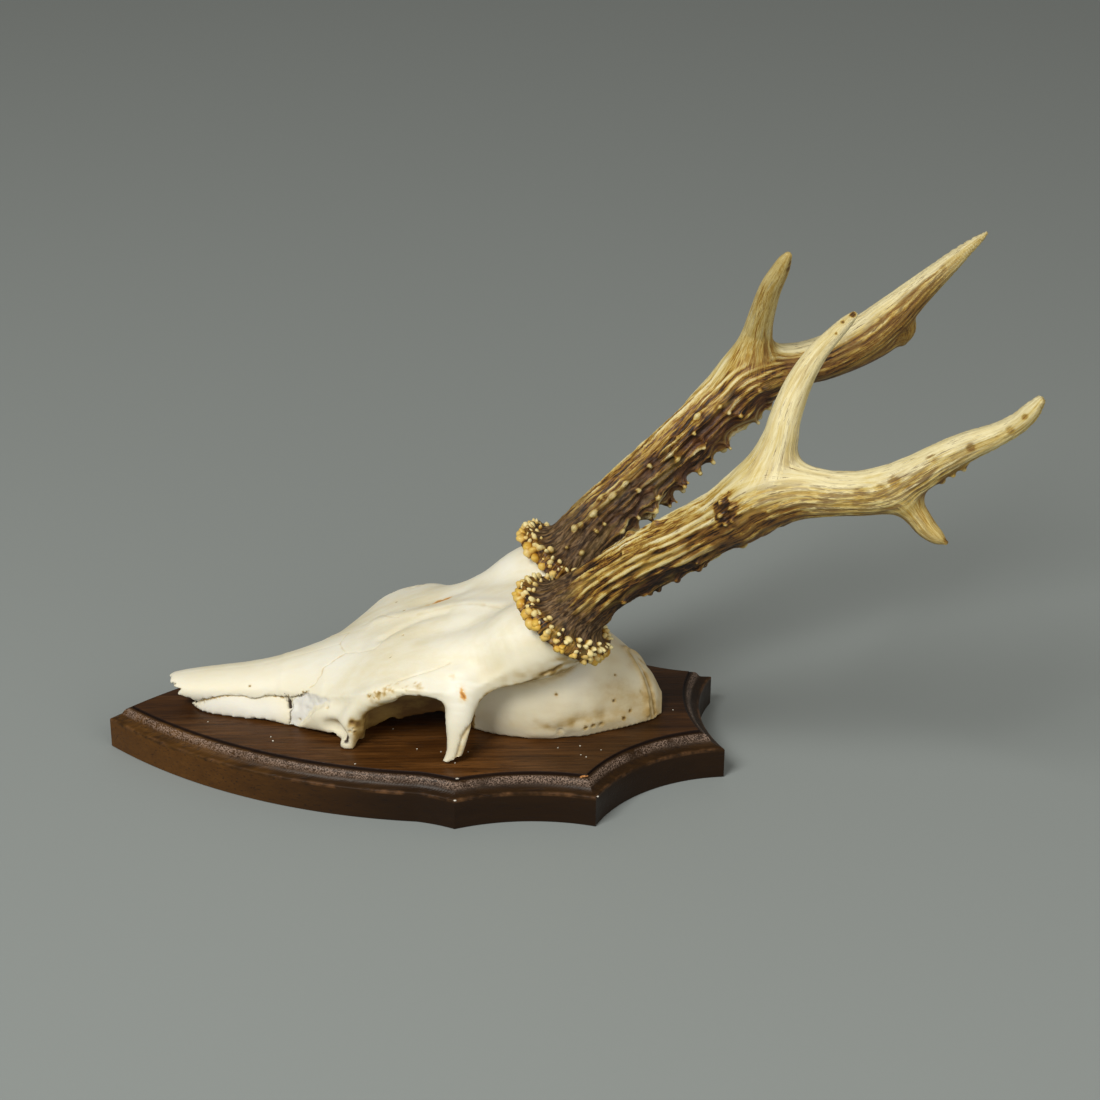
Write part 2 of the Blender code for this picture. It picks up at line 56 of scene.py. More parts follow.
# %% [markdown]
# ## Camera
# The photograph was taken from the deer's left, a little above. Lines through
# the shield's corners gave the lens and this place; the frame is square.

# %% Camera
CAMERA_PLACE = (0.019383, -0.932859, 0.544888)
CAMERA_RIGHT = (0.99937374, -0.03462005, 0.00731936)
CAMERA_UP = (0.00864218, 0.43938258, 0.89825846)
CAMERA_BACK = (-0.03431375, -0.89763267, 0.4394066)
FOCAL_PIXELS = 2600.0
FRAME_PIXELS = 1100.0
SENSOR = 36.0


def add_camera():
    lens = bpy.data.cameras.new("photo_camera")
    lens.sensor_width = SENSOR
    lens.lens = FOCAL_PIXELS / FRAME_PIXELS * SENSOR
    camera = bpy.data.objects.new("photo_camera", lens)
    turn = Matrix((CAMERA_RIGHT, CAMERA_UP, CAMERA_BACK)).transposed()
    camera.matrix_world = Matrix.Translation(CAMERA_PLACE) @ turn.to_4x4()
    bpy.context.scene.collection.objects.link(camera)
    bpy.context.scene.camera = camera


add_camera()
print("camera:", round(FOCAL_PIXELS / FRAME_PIXELS * SENSOR, 1), "mm lens at", CAMERA_PLACE)

# %% [markdown]
# ## Curves and noise
# A skull or an antler has no flat sides, so both start as a few stations that a
# smooth curve joins. Blender's own textures can't be read for a whole array of
# points, so a small lattice noise stands in wherever a surface grew unevenly. It
# has fixed seeds, so each run is the same.

# %% Curves and noise
def smooth_path(stations, step):
    """Catmull-Rom curve through the rows of stations, about step apart in the first three columns."""
    points = np.array(stations, float)
    points = np.vstack([2 * points[0] - points[1], points, 2 * points[-1] - points[-2]])
    rows = []
    for a, b, c, d in zip(points, points[1:], points[2:], points[3:]):
        count = max(1, round(np.linalg.norm((c - b)[:3]) / step))
        for t in np.arange(count) / count:
            rows.append(0.5 * (2 * b + (c - a) * t + (2 * a - 5 * b + 4 * c - d) * t ** 2
                               + (3 * b - a - 3 * c + d) * t ** 3))
    rows.append(points[-2])
    return np.array(rows)


def noise(places, size, seed=0):
    """Smooth noise between -1 and 1 whose lumps are about size across; size may differ by axis."""
    p = places / np.array(size, float)
    cell = np.floor(p).astype(np.int64)
    t = p - cell
    t = t ** 3 * (t * (t * 6 - 15) + 10)
    total = np.zeros(len(p))
    for corner in np.ndindex(2, 2, 2):
        key = (cell + corner) @ np.array([73856093, 19349663, 83492791]) + seed * 40503
        key = (key ^ (key >> 13)) * 1274126177 & 0xFFFFFFFF
        key = (key ^ (key >> 15)) * 2246822519 & 0xFFFFFFFF
        weight = np.prod(np.where(np.array(corner) == 1, t, 1 - t), axis=1)
        total += weight * ((key >> 12 & 0xFFFF) / 32767.5 - 1)
    return total


def ramp(value, low, high):
    """0 below low, 1 above high, with soft ends."""
    t = np.clip((value - low) / (high - low), 0, 1)
    return t * t * (3 - 2 * t)


print("noise on three corners of a cube:", noise(np.eye(3), 2.5).round(2))

# %% [markdown]
# ## Growing a surface
# Bone and antler melt from one form into the next. Such a shape is easiest to
# say as a field: a number for every point of space, below zero inside. Fields
# join with a soft minimum, which leaves a fillet like grown bone. Sculpting by
# hand could do it too, but a field can be measured and changed by its numbers.

# %% Joining fields
def join(a, b, fillet):
    """Union of two fields with a fillet of about that size."""
    near = np.maximum(fillet - np.abs(a - b), 0) / fillet
    return np.minimum(a, b) - near * near * fillet / 4


def cut(a, b, fillet):
    """What is left of a after b is taken away."""
    return -join(-a, b, fillet)


def meet(a, b, edge):
    """What is inside both fields, with the edge between them rounded a little."""
    return -join(-a, -b, edge)


# %% [markdown]
# ## Laying a skin
# The mesh lies where the field is zero. Every small cube that the surface crosses
# gets one vertex, and every crossed edge of the grid one quad (surface nets), which
# gives even faces. The field is first read in coarse blocks, because most of the
# box is far from the bone.

# %% Laying a skin
def skin_of(field, low, high, step):
    """Vertices and quads of the surface where field is zero, inside a box."""
    low = np.array(low, float)
    blocks = np.ceil((np.array(high) - low) / (4 * step)).astype(int)
    centres = np.stack(np.meshgrid(*[np.arange(n) * 4 + 1.5 for n in blocks], indexing="ij"), -1)
    rough = field(low + step * centres.reshape(-1, 3)).reshape(blocks)
    values = rough.repeat(4, 0).repeat(4, 1).repeat(4, 2)
    near = np.abs(values) < 5.5 * step
    values[near] = field(low + step * np.argwhere(near))
    inside = values < 0
    corners = np.array(list(np.ndindex(2, 2, 2)))
    window = [slice(None, -1), slice(1, None)]
    filled = sum(inside[window[i], window[j], window[k]].astype(np.int8) for i, j, k in corners)
    cells = np.argwhere((filled > 0) & (filled < 8))
    at = np.stack([values[tuple((cells + c).T)] for c in corners], 1)
    place, hits = np.zeros((len(cells), 3)), np.zeros(len(cells))
    for i in range(8):
        for j in range(i + 1, 8):
            if np.abs(corners[i] - corners[j]).sum() == 1:
                crossed = (at[:, i] < 0) != (at[:, j] < 0)
                share = np.where(crossed, at[:, i] / np.where(crossed, at[:, i] - at[:, j], 1), 0)
                place += crossed[:, None] * (corners[i] + (corners[j] - corners[i]) * share[:, None])
                hits += crossed
    number = np.full(filled.shape, -1)
    number[tuple(cells.T)] = np.arange(len(cells))
    quads = []
    for axis in range(3):
        one, two = np.eye(3, dtype=int)[(axis + 1) % 3], np.eye(3, dtype=int)[(axis + 2) % 3]
        shift = [slice(None)] * 3
        shift[axis] = slice(None, -1)
        first = inside[tuple(shift)]
        shift[axis] = slice(1, None)
        edges = np.argwhere(first != inside[tuple(shift)])
        edges = edges[(edges[:, (axis + 1) % 3] > 0) & (edges[:, (axis + 2) % 3] > 0)]
        around = [number[tuple((edges - move).T)] for move in (one + two, two, 0 * one, one)]
        quad = np.stack(around, 1)
        leaving = first[tuple(edges.T)]
        quads.append(np.where(leaving[:, None], quad, quad[:, ::-1]))
    quads = np.vstack(quads)
    return low + step * (cells + place / hits[:, None]), quads[(quads >= 0).all(1)]


# %% [markdown]
# ## Onto the exact surface
# The first vertices are only near the surface, so `settle` slides them down the
# field's slope. `halved` makes the mesh finer where a crack, a tooth of broken bone
# or a small hole needs it, which is much cheaper than a fine mesh everywhere.

# %% Settling and halving
def slope_of(field, points, reach=0.05):
    """The field and its gradient at each point."""
    here = field(points)
    ahead = [field(points + reach * axis) for axis in np.eye(3)]
    return here, (np.stack(ahead, 1) - here[:, None]) / reach


def settle(field, points, limit, rounds=2):
    """Slide points onto the surface, by at most limit in each round."""
    for _ in range(rounds):
        here, slope = slope_of(field, points)
        move = slope * (here / np.maximum((slope ** 2).sum(1), 0.04))[:, None]
        length = np.linalg.norm(move, axis=1, keepdims=True)
        points = points - move * np.minimum(1, limit / np.maximum(length, 1e-9))
    return points


def outward(field, points):
    """Unit normals of the field's surface."""
    slope = slope_of(field, points)[1]
    return slope / np.maximum(np.linalg.norm(slope, axis=1, keepdims=True), 1e-9)


def halved(points, triangles, keep):
    """Split every edge whose two ends are kept, so that the mesh is finer there."""
    edges = np.sort(np.vstack([triangles[:, pair] for pair in ([0, 1], [1, 2], [2, 0])]), axis=1)
    unique, inverse = np.unique(edges, axis=0, return_inverse=True)
    halve = keep[unique].all(1)
    number = np.full(len(unique), -1)
    number[halve] = len(points) + np.arange(halve.sum())
    points = np.vstack([points, points[unique[halve]].mean(1)])
    middles = number[inverse.ravel()].reshape(3, -1).T
    count = (middles >= 0).sum(1)
    (a, b, c), (ab, bc, ca) = triangles[count == 3].T, middles[count == 3].T
    made = [(a, ab, ca), (ab, b, bc), (ca, bc, c), (ab, bc, ca)]
    for turn in range(3):
        corner, middle = np.roll(triangles, -turn, 1), np.roll(middles, -turn, 1)
        one = (count == 1) & (middle[:, 0] >= 0)
        (a, b, c), ab = corner[one].T, middle[one, 0]
        made += [(a, ab, c), (ab, b, c)]
        two = (count == 2) & (middle[:, 2] < 0)
        (a, b, c), ab, bc = corner[two].T, middle[two, 0], middle[two, 1]
        made += [(ab, b, bc), (a, ab, bc), (a, bc, c)]
    return points, np.vstack([triangles[count == 0]] + [np.column_stack(three) for three in made])


# %% [markdown]
# ## Paths and outlines
# Cracks, sutures and stains follow a few rough points. A smooth path through them is
# laid onto the bone, and `away_from` measures from it. A broken edge is a flat
# outline seen from the side, and `outline_field` measures to that.

# %% Paths and outlines
def paths_on(field, paths, step=0.5):
    """Smooth paths through rough points, all laid onto the surface of a field."""
    smooth = [smooth_path(path, step) for path in paths]
    laid = settle(field, np.vstack(smooth), 4.0, rounds=6)
    return np.split(laid, np.cumsum([len(path) for path in smooth])[:-1])


def away_from(path, p, limit):
    """Distance of each point from a path, exact where it is under limit."""
    best = np.full(len(p), 4.0 * limit)
    near = np.flatnonzero(((p > path.min(0) - limit) & (p < path.max(0) + limit)).all(1))
    for a, b in zip(path, path[1:]):
        axis = b - a
        share = np.clip((p[near] - a) @ axis / max(axis @ axis, 1e-9), 0, 1)
        best[near] = np.minimum(best[near], np.linalg.norm(p[near] - a - share[:, None] * axis, axis=1))
    return best


def outline_field(u, v, corners):
    """Signed distance of flat points to a closed outline, negative inside."""
    best, inside = np.full(len(u), 1e9), np.zeros(len(u), bool)
    for (ax, ay), (bx, by) in zip(corners, corners[1:] + corners[:1]):
        ex, ey = bx - ax, by - ay
        share = np.clip(((u - ax) * ex + (v - ay) * ey) / (ex * ex + ey * ey), 0, 1)
        best = np.minimum(best, np.hypot(u - ax - share * ex, v - ay - share * ey))
        inside ^= ((ay > v) != (by > v)) & (u < ax + (v - ay) * ex / (ey or 1e-9))
    return np.where(inside, -best, best)


# %% [markdown]
# ## Writing a mesh
# A mesh could be built face by face, but these have a hundred thousand faces, so
# whole arrays go into Blender in one step. Each piece's place is in its vertices,
# so that its object stays at the origin as the frame asks.

# %% Meshes
def mesh_of(name, points, faces, place):
    """A smooth-shaded mesh in metres from points in millimetres and equal-sided faces."""
    sides = faces.shape[1]
    spot = np.array(place)
    world = (points @ spot[:3, :3].T + spot[:3, 3]) * MM
    if place.determinant() < 0:
        faces = faces[:, ::-1]
    mesh = bpy.data.meshes.new(name)
    mesh.vertices.add(len(world))
    mesh.vertices.foreach_set("co", world.astype(np.float32).ravel())
    mesh.loops.add(faces.size)
    mesh.loops.foreach_set("vertex_index", faces.astype(np.int32).ravel())
    mesh.polygons.add(len(faces))
    mesh.polygons.foreach_set("loop_start", np.arange(0, faces.size, sides, dtype=np.int32))
    mesh.polygons.foreach_set("use_smooth", np.ones(len(faces), bool))
    mesh.update(calc_edges=True)
    mesh.validate()
    return mesh


def give(mesh, name, values):
    """Store one number or one vector for each vertex."""
    kind, key = ("FLOAT", "value") if values.ndim == 1 else ("FLOAT_VECTOR", "vector")
    layer = mesh.attributes.new(name, kind, "POINT")
    layer.data.foreach_set(key, values.astype(np.float32).ravel())


def add_piece(name, mesh, material, slot, *nodes):
    """Put a finished mesh in the scene, on the CAD body, in place of CAD nodes."""
    piece = bpy.data.objects.new(name, mesh)
    bpy.context.scene.collection.objects.link(piece)
    mesh.materials.clear()
    mesh.materials.append(material)
    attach(piece, "root")
    if nodes:
        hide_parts(*nodes)
    print(f"{name}: {sum(len(p.vertices) - 2 for p in mesh.polygons)} triangles")


# %% [markdown]
# ## Materials
# Shader nodes are usually wired by hand in the editor. Here small helpers add and
# link them by name, so that each material reads as a recipe. Patterns read the
# Object coordinates, or attributes that the meshes carry, so they hold in every view.

# %% Material helpers
def start_material(name):
    material = bpy.data.materials.new(name)
    material.use_nodes = True
    tree = material.node_tree
    return material, tree, tree.nodes["Principled BSDF"]


def add_node(tree, kind, settings=None, **links):
    """Add a node; links maps input names to sockets or plain values."""
    node = tree.nodes.new(kind)
    for key, value in (settings or {}).items():
        setattr(node, key, value)
    for key, value in links.items():
        target = node.inputs[key.replace("_", " ")]
        if isinstance(value, bpy.types.NodeSocket):
            tree.links.new(value, target)
        else:
            target.default_value = value
    return node


def attribute(tree, name, output="Fac"):
    return add_node(tree, "ShaderNodeAttribute", {"attribute_name": name}).outputs[output]


def object_place(tree):
    return tree.nodes.new("ShaderNodeTexCoord").outputs["Object"]


def stretched(tree, source, scale):
    node = add_node(tree, "ShaderNodeMapping", Vector=source, Scale=scale)
    return node.outputs["Vector"]


def mix(tree, factor, first, second):
    """The second colour over the first."""
    node = tree.nodes.new("ShaderNodeMix")
    node.data_type = "RGBA"
    for index, value in ((0, factor), (6, first), (7, second)):
        if isinstance(value, bpy.types.NodeSocket):
            tree.links.new(value, node.inputs[index])
        elif index == 0:
            node.inputs[index].default_value = value
        else:
            node.inputs[index].default_value = (*value, 1.0)
    return node.outputs[2]


def math_node(tree, operation, first, second=0.0, third=0.0):
    node = tree.nodes.new("ShaderNodeMath")
    node.operation = operation
    for index, value in enumerate((first, second, third)):
        if isinstance(value, bpy.types.NodeSocket):
            tree.links.new(value, node.inputs[index])
        else:
            node.inputs[index].default_value = value
    return node.outputs[0]


def times(tree, first, second):
    return math_node(tree, "MULTIPLY", first, second)


def times_plus(tree, first, second, third):
    return math_node(tree, "MULTIPLY_ADD", first, second, third)


def one_minus(tree, value):
    return math_node(tree, "SUBTRACT", 1.0, value)


def centred(tree, value):
    """A noise value, moved so that its middle is 0."""
    return math_node(tree, "SUBTRACT", value, 0.5)


def steps(tree, source, stops):
    """Colour ramp from (position, colour) stops."""
    node = tree.nodes.new("ShaderNodeValToRGB")
    ramp_of = node.color_ramp
    while len(ramp_of.elements) < len(stops):
        ramp_of.elements.new(0.5)
    for element, (position, colour) in zip(ramp_of.elements, stops):
        element.position = position
        element.color = (*colour, 1.0)
    tree.links.new(source, node.inputs[0])
    return node.outputs[0]


def noise_node(tree, vector, scale, detail=3.0, roughness=0.5):
    node = add_node(tree, "ShaderNodeTexNoise", Vector=vector, Scale=scale, Detail=detail,
                    Roughness=roughness)
    return node.outputs["Fac"]


def ramp_up(tree, source, low, high):
    """0 below low, 1 above high, with soft ends."""
    node = add_node(tree, "ShaderNodeMapRange", {"interpolation_type": "SMOOTHSTEP"}, Value=source)
    node.inputs["From Min"].default_value = low
    node.inputs["From Max"].default_value = high
    return node.outputs[0]


def band(tree, source, start, full, fade, end):
    """0 outside start and end, 1 between full and fade."""
    return times(tree, ramp_up(tree, source, start, full), one_minus(tree, ramp_up(tree, source, fade, end)))


def set_inputs(shader, **values):
    """Plain values on the shader's own sockets."""
    for name, value in values.items():
        shader.inputs[name.replace("_", " ")].default_value = value


def bump_up(tree, shader, height, strength, depth):
    """Relief in millimetres on the shader's normal."""
    node = add_node(tree, "ShaderNodeBump", Height=height, Strength=strength, Distance=depth * MM)
    tree.links.new(node.outputs[0], shader.inputs["Normal"])


# %% [markdown]
# ## Floor and light
# A plain pale floor and one large soft light from the upper left, with a weak
# fill and an even sky, as in a small product studio. The standard view transform
# keeps the bone as warm as its material says.

# %% Floor and light
FLOOR_REACH = 3.0
FLOOR_COLOUR = (0.285, 0.317, 0.318, 1.0)


def add_floor():
    mesh = bpy.data.meshes.new("floor")
    corners = [(x * FLOOR_REACH, y * FLOOR_REACH, 0) for x, y in ((-1, -1), (1, -1), (1, 1), (-1, 1))]
    mesh.from_pydata(corners, [], [(0, 1, 2, 3)])
    material, tree, shader = start_material("pale floor")
    set_inputs(shader, Base_Color=FLOOR_COLOUR, Roughness=0.6)
    mesh.materials.append(material)
    floor = bpy.data.objects.new("floor", mesh)
    bpy.context.scene.collection.objects.link(floor)


def add_light(name, place, aim, size, power, colour):
    lamp = bpy.data.lights.new(name, "AREA")
    lamp.size = size
    lamp.energy = power
    lamp.color = colour
    light = bpy.data.objects.new(name, lamp)
    light.location = place
    light.rotation_mode = "QUATERNION"
    light.rotation_quaternion = (Vector(aim) - Vector(place)).to_track_quat("-Z", "Y")
    bpy.context.scene.collection.objects.link(light)


add_floor()
AIM = (0.03, 0.0, 0.06)
add_light("key light", (-1.00, -1.35, 1.85), AIM, 1.0, 49.0, (1.0, 0.97, 0.91))
add_light("fill light", (0.9, -1.2, 0.9), AIM, 1.2, 8.0, (1.0, 0.96, 0.88))
world = bpy.data.worlds.new("studio")
bpy.context.scene.world = world
world.use_nodes = True
set_inputs(world.node_tree.nodes["Background"], Color=(0.90, 0.86, 0.78, 1.0), Strength=0.22)
bpy.context.scene.view_settings.view_transform = "Standard"
print("lights:", ", ".join(lamp.name for lamp in bpy.data.lights))

# %% [markdown]
# ## The shield's outline
# The board was bandsawn to a pointed shield whose edge is a chain of circle
# arcs, then its rim was moulded with a router. A bevel on a traced outline would
# blur the corners. The arcs are known, so they are kept as arcs: an inset arc has
# the same centre and a smaller or larger radius, and two inset arcs meet in a true
# mitre.

# %% Shield outline
SHIELD_SPACING = 1.2
TIP, BELLY, FLARE = (-125.0, 0.0), (-60.0, -45.0), (1.0, -61.6)
EAR, SHOULDER, WAIST = (9.0, -64.2), (16.0, -67.5), (43.0, -62.4)
HIP, SCALLOP, CORNER, END_HOLLOW = (71.2, -66.8), (89.0, -44.0), (125.0, -30.3), (117.5, 0.0)


def far(point):
    return (point[0], -point[1])


ARCS = [(TIP, BELLY, FLARE), (FLARE, EAR, SHOULDER), (SHOULDER, WAIST, HIP), (HIP, SCALLOP, CORNER)]
FAR_ARCS = [(far(c), far(b), far(a)) for a, b, c in reversed(ARCS)]
ARCS = ARCS + [(CORNER, END_HOLLOW, far(CORNER))] + FAR_ARCS


def circle_through(start, middle, end):
    """Centre, radius and sense (+1 counter-clockwise) of the circle through three plan points."""
    a, b, c = (complex(*point) for point in (start, middle, end))
    w = (c - a) / (b - a)
    centre = a + (b - a) * (w - abs(w) ** 2) / (2j * w.imag)
    return centre, abs(a - centre), 1 if w.imag > 0 else -1


def circles_meet(one, two, near):
    """Where two circles (centre, radius) cross, on the side of a plan point."""
    (c1, r1), (c2, r2) = one, two
    gap = c2 - c1
    ahead = (abs(gap) ** 2 + r1 ** 2 - r2 ** 2) / (2 * abs(gap))
    aside = 1j * math.sqrt(max(r1 ** 2 - ahead ** 2, 0.0))
    found = [c1 + gap / abs(gap) * (ahead + sign * aside) for sign in (1, -1)]
    return min(found, key=lambda point: abs(point - complex(*near)))


def outline_at(inset):
    """Plan points of the outline moved inward, as many for every inset, and the length up to each."""
    circles = [circle_through(*arc) for arc in ARCS]
    moved = [(centre, radius - sense * inset) for centre, radius, sense in circles]
    corners = [circles_meet(moved[i - 1], moved[i], arc[0]) for i, arc in enumerate(ARCS)]
    loop, lengths, done = [], [], 0.0
    for i, (centre, radius, sense) in enumerate(circles):
        start, end = corners[i] - centre, corners[(i + 1) % len(corners)] - centre
        sweep = math.atan2((end / start).imag, (end / start).real)
        whole = radius * abs(sweep)
        chord = abs(complex(*ARCS[i][2]) - complex(*ARCS[i][0]))
        count = max(2, round(2 * radius * math.asin(min(1.0, chord / (2 * radius))) / SHIELD_SPACING))
        for k in range(count):
            point = centre + start * complex(math.cos(sweep * k / count), math.sin(sweep * k / count))
            loop.append((point.real, point.imag))
            lengths.append(done + whole * k / count)
        done += whole
    return np.array(loop), np.array(lengths)


print("edge of the shield:", round(outline_at(0.0)[1][-1]), "mm")

# %% [markdown]
# ## The shield
# The router left, from the edge inward: a thin arris, a cove, a round and a small
# step up to the flat face. Rows of the outline are stacked through that profile,
# as a moulding plane would sweep it. The back is filled round the two countersunk
# screw holes. Each vertex keeps how far in from the edge it is and how far along it.

# %% Shield mesh
SHIELD_PROFILE = [(0.3, 0.0), (0.0, 0.3), (0.0, 4.0), (0.0, 8.0), (0.0, 12.6), (0.12, 13.0), (0.45, 13.28),
                  (1.0, 13.5), (1.7, 13.75), (2.4, 14.1), (3.0, 14.55), (3.5, 15.15), (3.9, 15.9),
                  (4.3, 16.7), (4.8, 17.4), (5.4, 17.85), (6.1, 18.05), (6.75, 18.1), (6.8, 18.75),
                  (7.0, 18.9), (8.5, 18.9)]
SIDE_TOP, ARRIS_HEIGHT = 12.0, 13.0
SHARP_ANGLE = math.radians(24)
SCREW_SPOTS = [(-36.0, 3.0), (62.0, -2.0)]
HOLE_RADIUS = 4.3
HOLE_DEPTH = 3.2


def hole_ring(spot, height, sides=48):
    turns = np.arange(sides) * math.tau / sides
    x, y = spot
    return [(x + HOLE_RADIUS * math.cos(t), y + HOLE_RADIUS * math.sin(t), height) for t in turns]


def build_shield():
    shape = bmesh.new()
    across = shape.verts.layers.float.new("across")
    along = shape.verts.layers.float.new("along")
    rows = []
    for inset, height in SHIELD_PROFILE:
        loop, lengths = outline_at(inset)
        row = []
        for (x, y), length in zip(loop, lengths):
            vertex = shape.verts.new((x * MM, y * MM, height * MM))
            vertex[across] = inset if height > SIDE_TOP else inset - (ARRIS_HEIGHT - height)
            vertex[along] = length
            row.append(vertex)
        rows.append(row)
    for low, high in zip(rows, rows[1:]):
        for i in range(len(low)):
            shape.faces.new((low[i - 1], low[i], high[i], high[i - 1]))
    shape.faces.new(rows[-1])
    edges = [shape.edges.get((rows[0][i - 1], rows[0][i])) for i in range(len(rows[0]))]
    for spot in SCREW_SPOTS:
        mouth = [shape.verts.new([v * MM for v in point]) for point in hole_ring(spot, 0.0)]
        floor = [shape.verts.new([v * MM for v in point]) for point in hole_ring(spot, HOLE_DEPTH)]
        for i in range(len(mouth)):
            shape.faces.new((mouth[i - 1], floor[i - 1], floor[i], mouth[i]))
            edges.append(shape.edges.get((mouth[i - 1], mouth[i])))
        shape.faces.new(floor[::-1])
    bmesh.ops.triangle_fill(shape, use_beauty=False, use_dissolve=False, edges=edges, normal=(0.0, 0.0, -1.0))
    for face in shape.faces:
        face.smooth = True
    bmesh.ops.recalc_face_normals(shape, faces=shape.faces)
    mesh = bpy.data.meshes.new("shield")
    shape.to_mesh(mesh)
    shape.free()
    mesh.set_sharp_from_angle(angle=SHARP_ANGLE)
    add_piece("shield", mesh, WOOD, "stained_wood", "shield_plaque")


# %% [markdown]
# ## Stained wood
# An open-grained board under dark walnut stain and a thin half-gloss varnish.
# The grain runs the length of the board, so the noise is stretched along X in
# Object coordinates. The step carries a painted shadow line, the round a painted
# sheen of the varnish, and the stain rubs thin on the arris; all follow the
# `across` attribute, and `along` carries the cutter's chatter marks round the
# moulding. Painted shade darkens the colour towards the right, where the light
# falls off; `ahead` gives how far right a point is. The pointed end is darker too.

# %% Stained wood
def wood_material():
    material, tree, shader = start_material("stained wood")
    place = object_place(tree)
    across = attribute(tree, "across")
    along = attribute(tree, "along")
    drift = noise_node(tree, stretched(tree, place, (0.25, 1.0, 1.0)), 22.0, 2.0)
    bands = noise_node(tree, stretched(tree, place, (0.10, 1.0, 1.0)), 240.0, 4.0, 0.65)
    fibre = noise_node(tree, stretched(tree, place, (0.035, 1.0, 1.0)), 650.0, 3.0, 0.6)
    pores = noise_node(tree, stretched(tree, place, (0.09, 1.0, 1.0)), 1500.0, 1.0, 0.4)
    level = times_plus(tree, centred(tree, fibre), 0.7, bands)
    level = times_plus(tree, centred(tree, drift), 0.5, level)
    face = steps(tree, level, [(0.20, (0.028, 0.010, 0.003)), (0.50, (0.074, 0.028, 0.006)),
                               (0.80, (0.150, 0.062, 0.016))])
    rim = steps(tree, level, [(0.25, (0.032, 0.014, 0.003)), (0.55, (0.078, 0.034, 0.006)),
                              (0.85, (0.145, 0.065, 0.013))])
    ahead = add_node(tree, "ShaderNodeSeparateXYZ", Vector=place).outputs["X"]
    # Painted shade: this near-black darkens the rim, most on its side, and the face towards the right, where
    # the light falls off.
    stain = (0.008, 0.004, 0.002)
    side = one_minus(tree, ramp_up(tree, across, -1.2, -0.2))
    rim = mix(tree, times(tree, side, 0.6), rim, (0.115, 0.046, 0.008))
    rim_painted_shade = times_plus(tree, side, 0.12, 0.77)
    rim = mix(tree, times(tree, ramp_up(tree, ahead, -0.11, 0.0), rim_painted_shade), rim, stain)
    face = mix(tree, times(tree, ramp_up(tree, ahead, 0.02, 0.09), 0.50), face, stain)
    # Darker at the pointed end.
    nose_end = one_minus(tree, ramp_up(tree, ahead, -0.10, -0.05))
    face = mix(tree, times(tree, nose_end, 0.28), face, stain)
    colour = mix(tree, ramp_up(tree, across, 6.3, 7.1), rim, face)
    speck = noise_node(tree, place, 1900.0, 2.0, 0.5)
    rubbed = noise_node(tree, place, 140.0, 3.0, 0.6)
    # Painted sheen: a speckled grey band on the round stands in for the varnish's reflection; the same mask
    # also lifts the relief.
    painted_sheen = times(tree, band(tree, across, 3.2, 4.2, 5.0, 5.9), ramp_up(tree, speck, 0.40, 0.62))
    painted_sheen = times(tree, painted_sheen, ramp_up(tree, rubbed, 0.26, 0.56))
    colour = mix(tree, times(tree, painted_sheen, 0.76), colour, (0.34, 0.24, 0.185))
    # Painted shadow: a near-black line in the small step up to the flat.
    step_painted_shadow = band(tree, across, 5.9, 6.5, 6.85, 7.3)
    colour = mix(tree, times(tree, step_painted_shadow, 0.85), colour, (0.008, 0.005, 0.005))
    worn = times(tree, band(tree, across, -0.9, -0.1, 0.3, 1.3), ramp_up(tree, rubbed, 0.42, 0.72))
    colour = mix(tree, times(tree, worn, 0.6), colour, (0.20, 0.095, 0.038))
    dark_pore = ramp_up(tree, pores, 0.60, 0.72)
    colour = mix(tree, times(tree, dark_pore, 0.55), colour, (0.012, 0.006, 0.004))
    tree.links.new(colour, shader.inputs["Base Color"])
    tree.links.new(times_plus(tree, rubbed, 0.22, 0.30), shader.inputs["Roughness"])
    set_inputs(shader, Specular_IOR_Level=0.16, Coat_Weight=0.05, Coat_Roughness=0.22)
    chatter = times(tree, math_node(tree, "SINE", times(tree, along, 5.2)), 0.25)
    chatter = times(tree, chatter, band(tree, across, 0.3, 2.0, 5.8, 6.6))
    relief = times_plus(tree, painted_sheen, 0.8, chatter)
    relief = times_plus(tree, dark_pore, -0.8, relief)
    relief = times_plus(tree, fibre, 0.6, relief)
    bump_up(tree, shader, relief, 0.35, 0.25)
    return material


WOOD = wood_material()
build_shield()

# %% [markdown]
# ## Screws
# Two countersunk wood screws come from behind and hold the skull. A lathe would
# turn the body from a bar, so the mesh spins an outline the same way, and the cross
# recess is cut with a Boolean, as the punch does. Both are made at the origin in
# millimetres and set in place later.

# %% Screw body
SCREW_OUTLINE = [(0.0, 0.4), (3.7, 0.4), (4.0, 0.6), (4.0, 0.8), (2.1, 3.2), (2.0, 3.6), (2.0, 12.0),
                 (1.55, 13.0), (1.4, 30.0), (0.5, 33.6), (0.0, 34.3)]


def screw_body(sides=48):
    shape = bmesh.new()
    rings = []
    for radius, height in SCREW_OUTLINE:
        turns = [math.tau * k / sides for k in range(sides)] if radius else [0.0]
        rings.append([shape.verts.new((radius * math.cos(t), radius * math.sin(t), height)) for t in turns])
    for low, high in zip(rings, rings[1:]):
        for k in range(sides):
            below = [low[k - 1], low[k]] if len(low) > 1 else [low[0]]
            above = [high[k], high[k - 1]] if len(high) > 1 else [high[0]]
            shape.faces.new(below + above)
    bmesh.ops.recalc_face_normals(shape, faces=shape.faces)
    mesh = bpy.data.meshes.new("screw body")
    shape.to_mesh(mesh)
    shape.free()
    return mesh


def cross_cutter():
    shape = bmesh.new()
    for size in ((3.9, 0.8, 3.4), (0.8, 3.9, 3.4)):
        made = bmesh.ops.create_cube(shape, size=1.0)["verts"]
        bmesh.ops.scale(shape, vec=size, verts=made)
        bmesh.ops.translate(shape, vec=(0.0, 0.0, 0.4), verts=made)
    mesh = bpy.data.meshes.new("cross cutter")
    shape.to_mesh(mesh)
    shape.free()
    return mesh


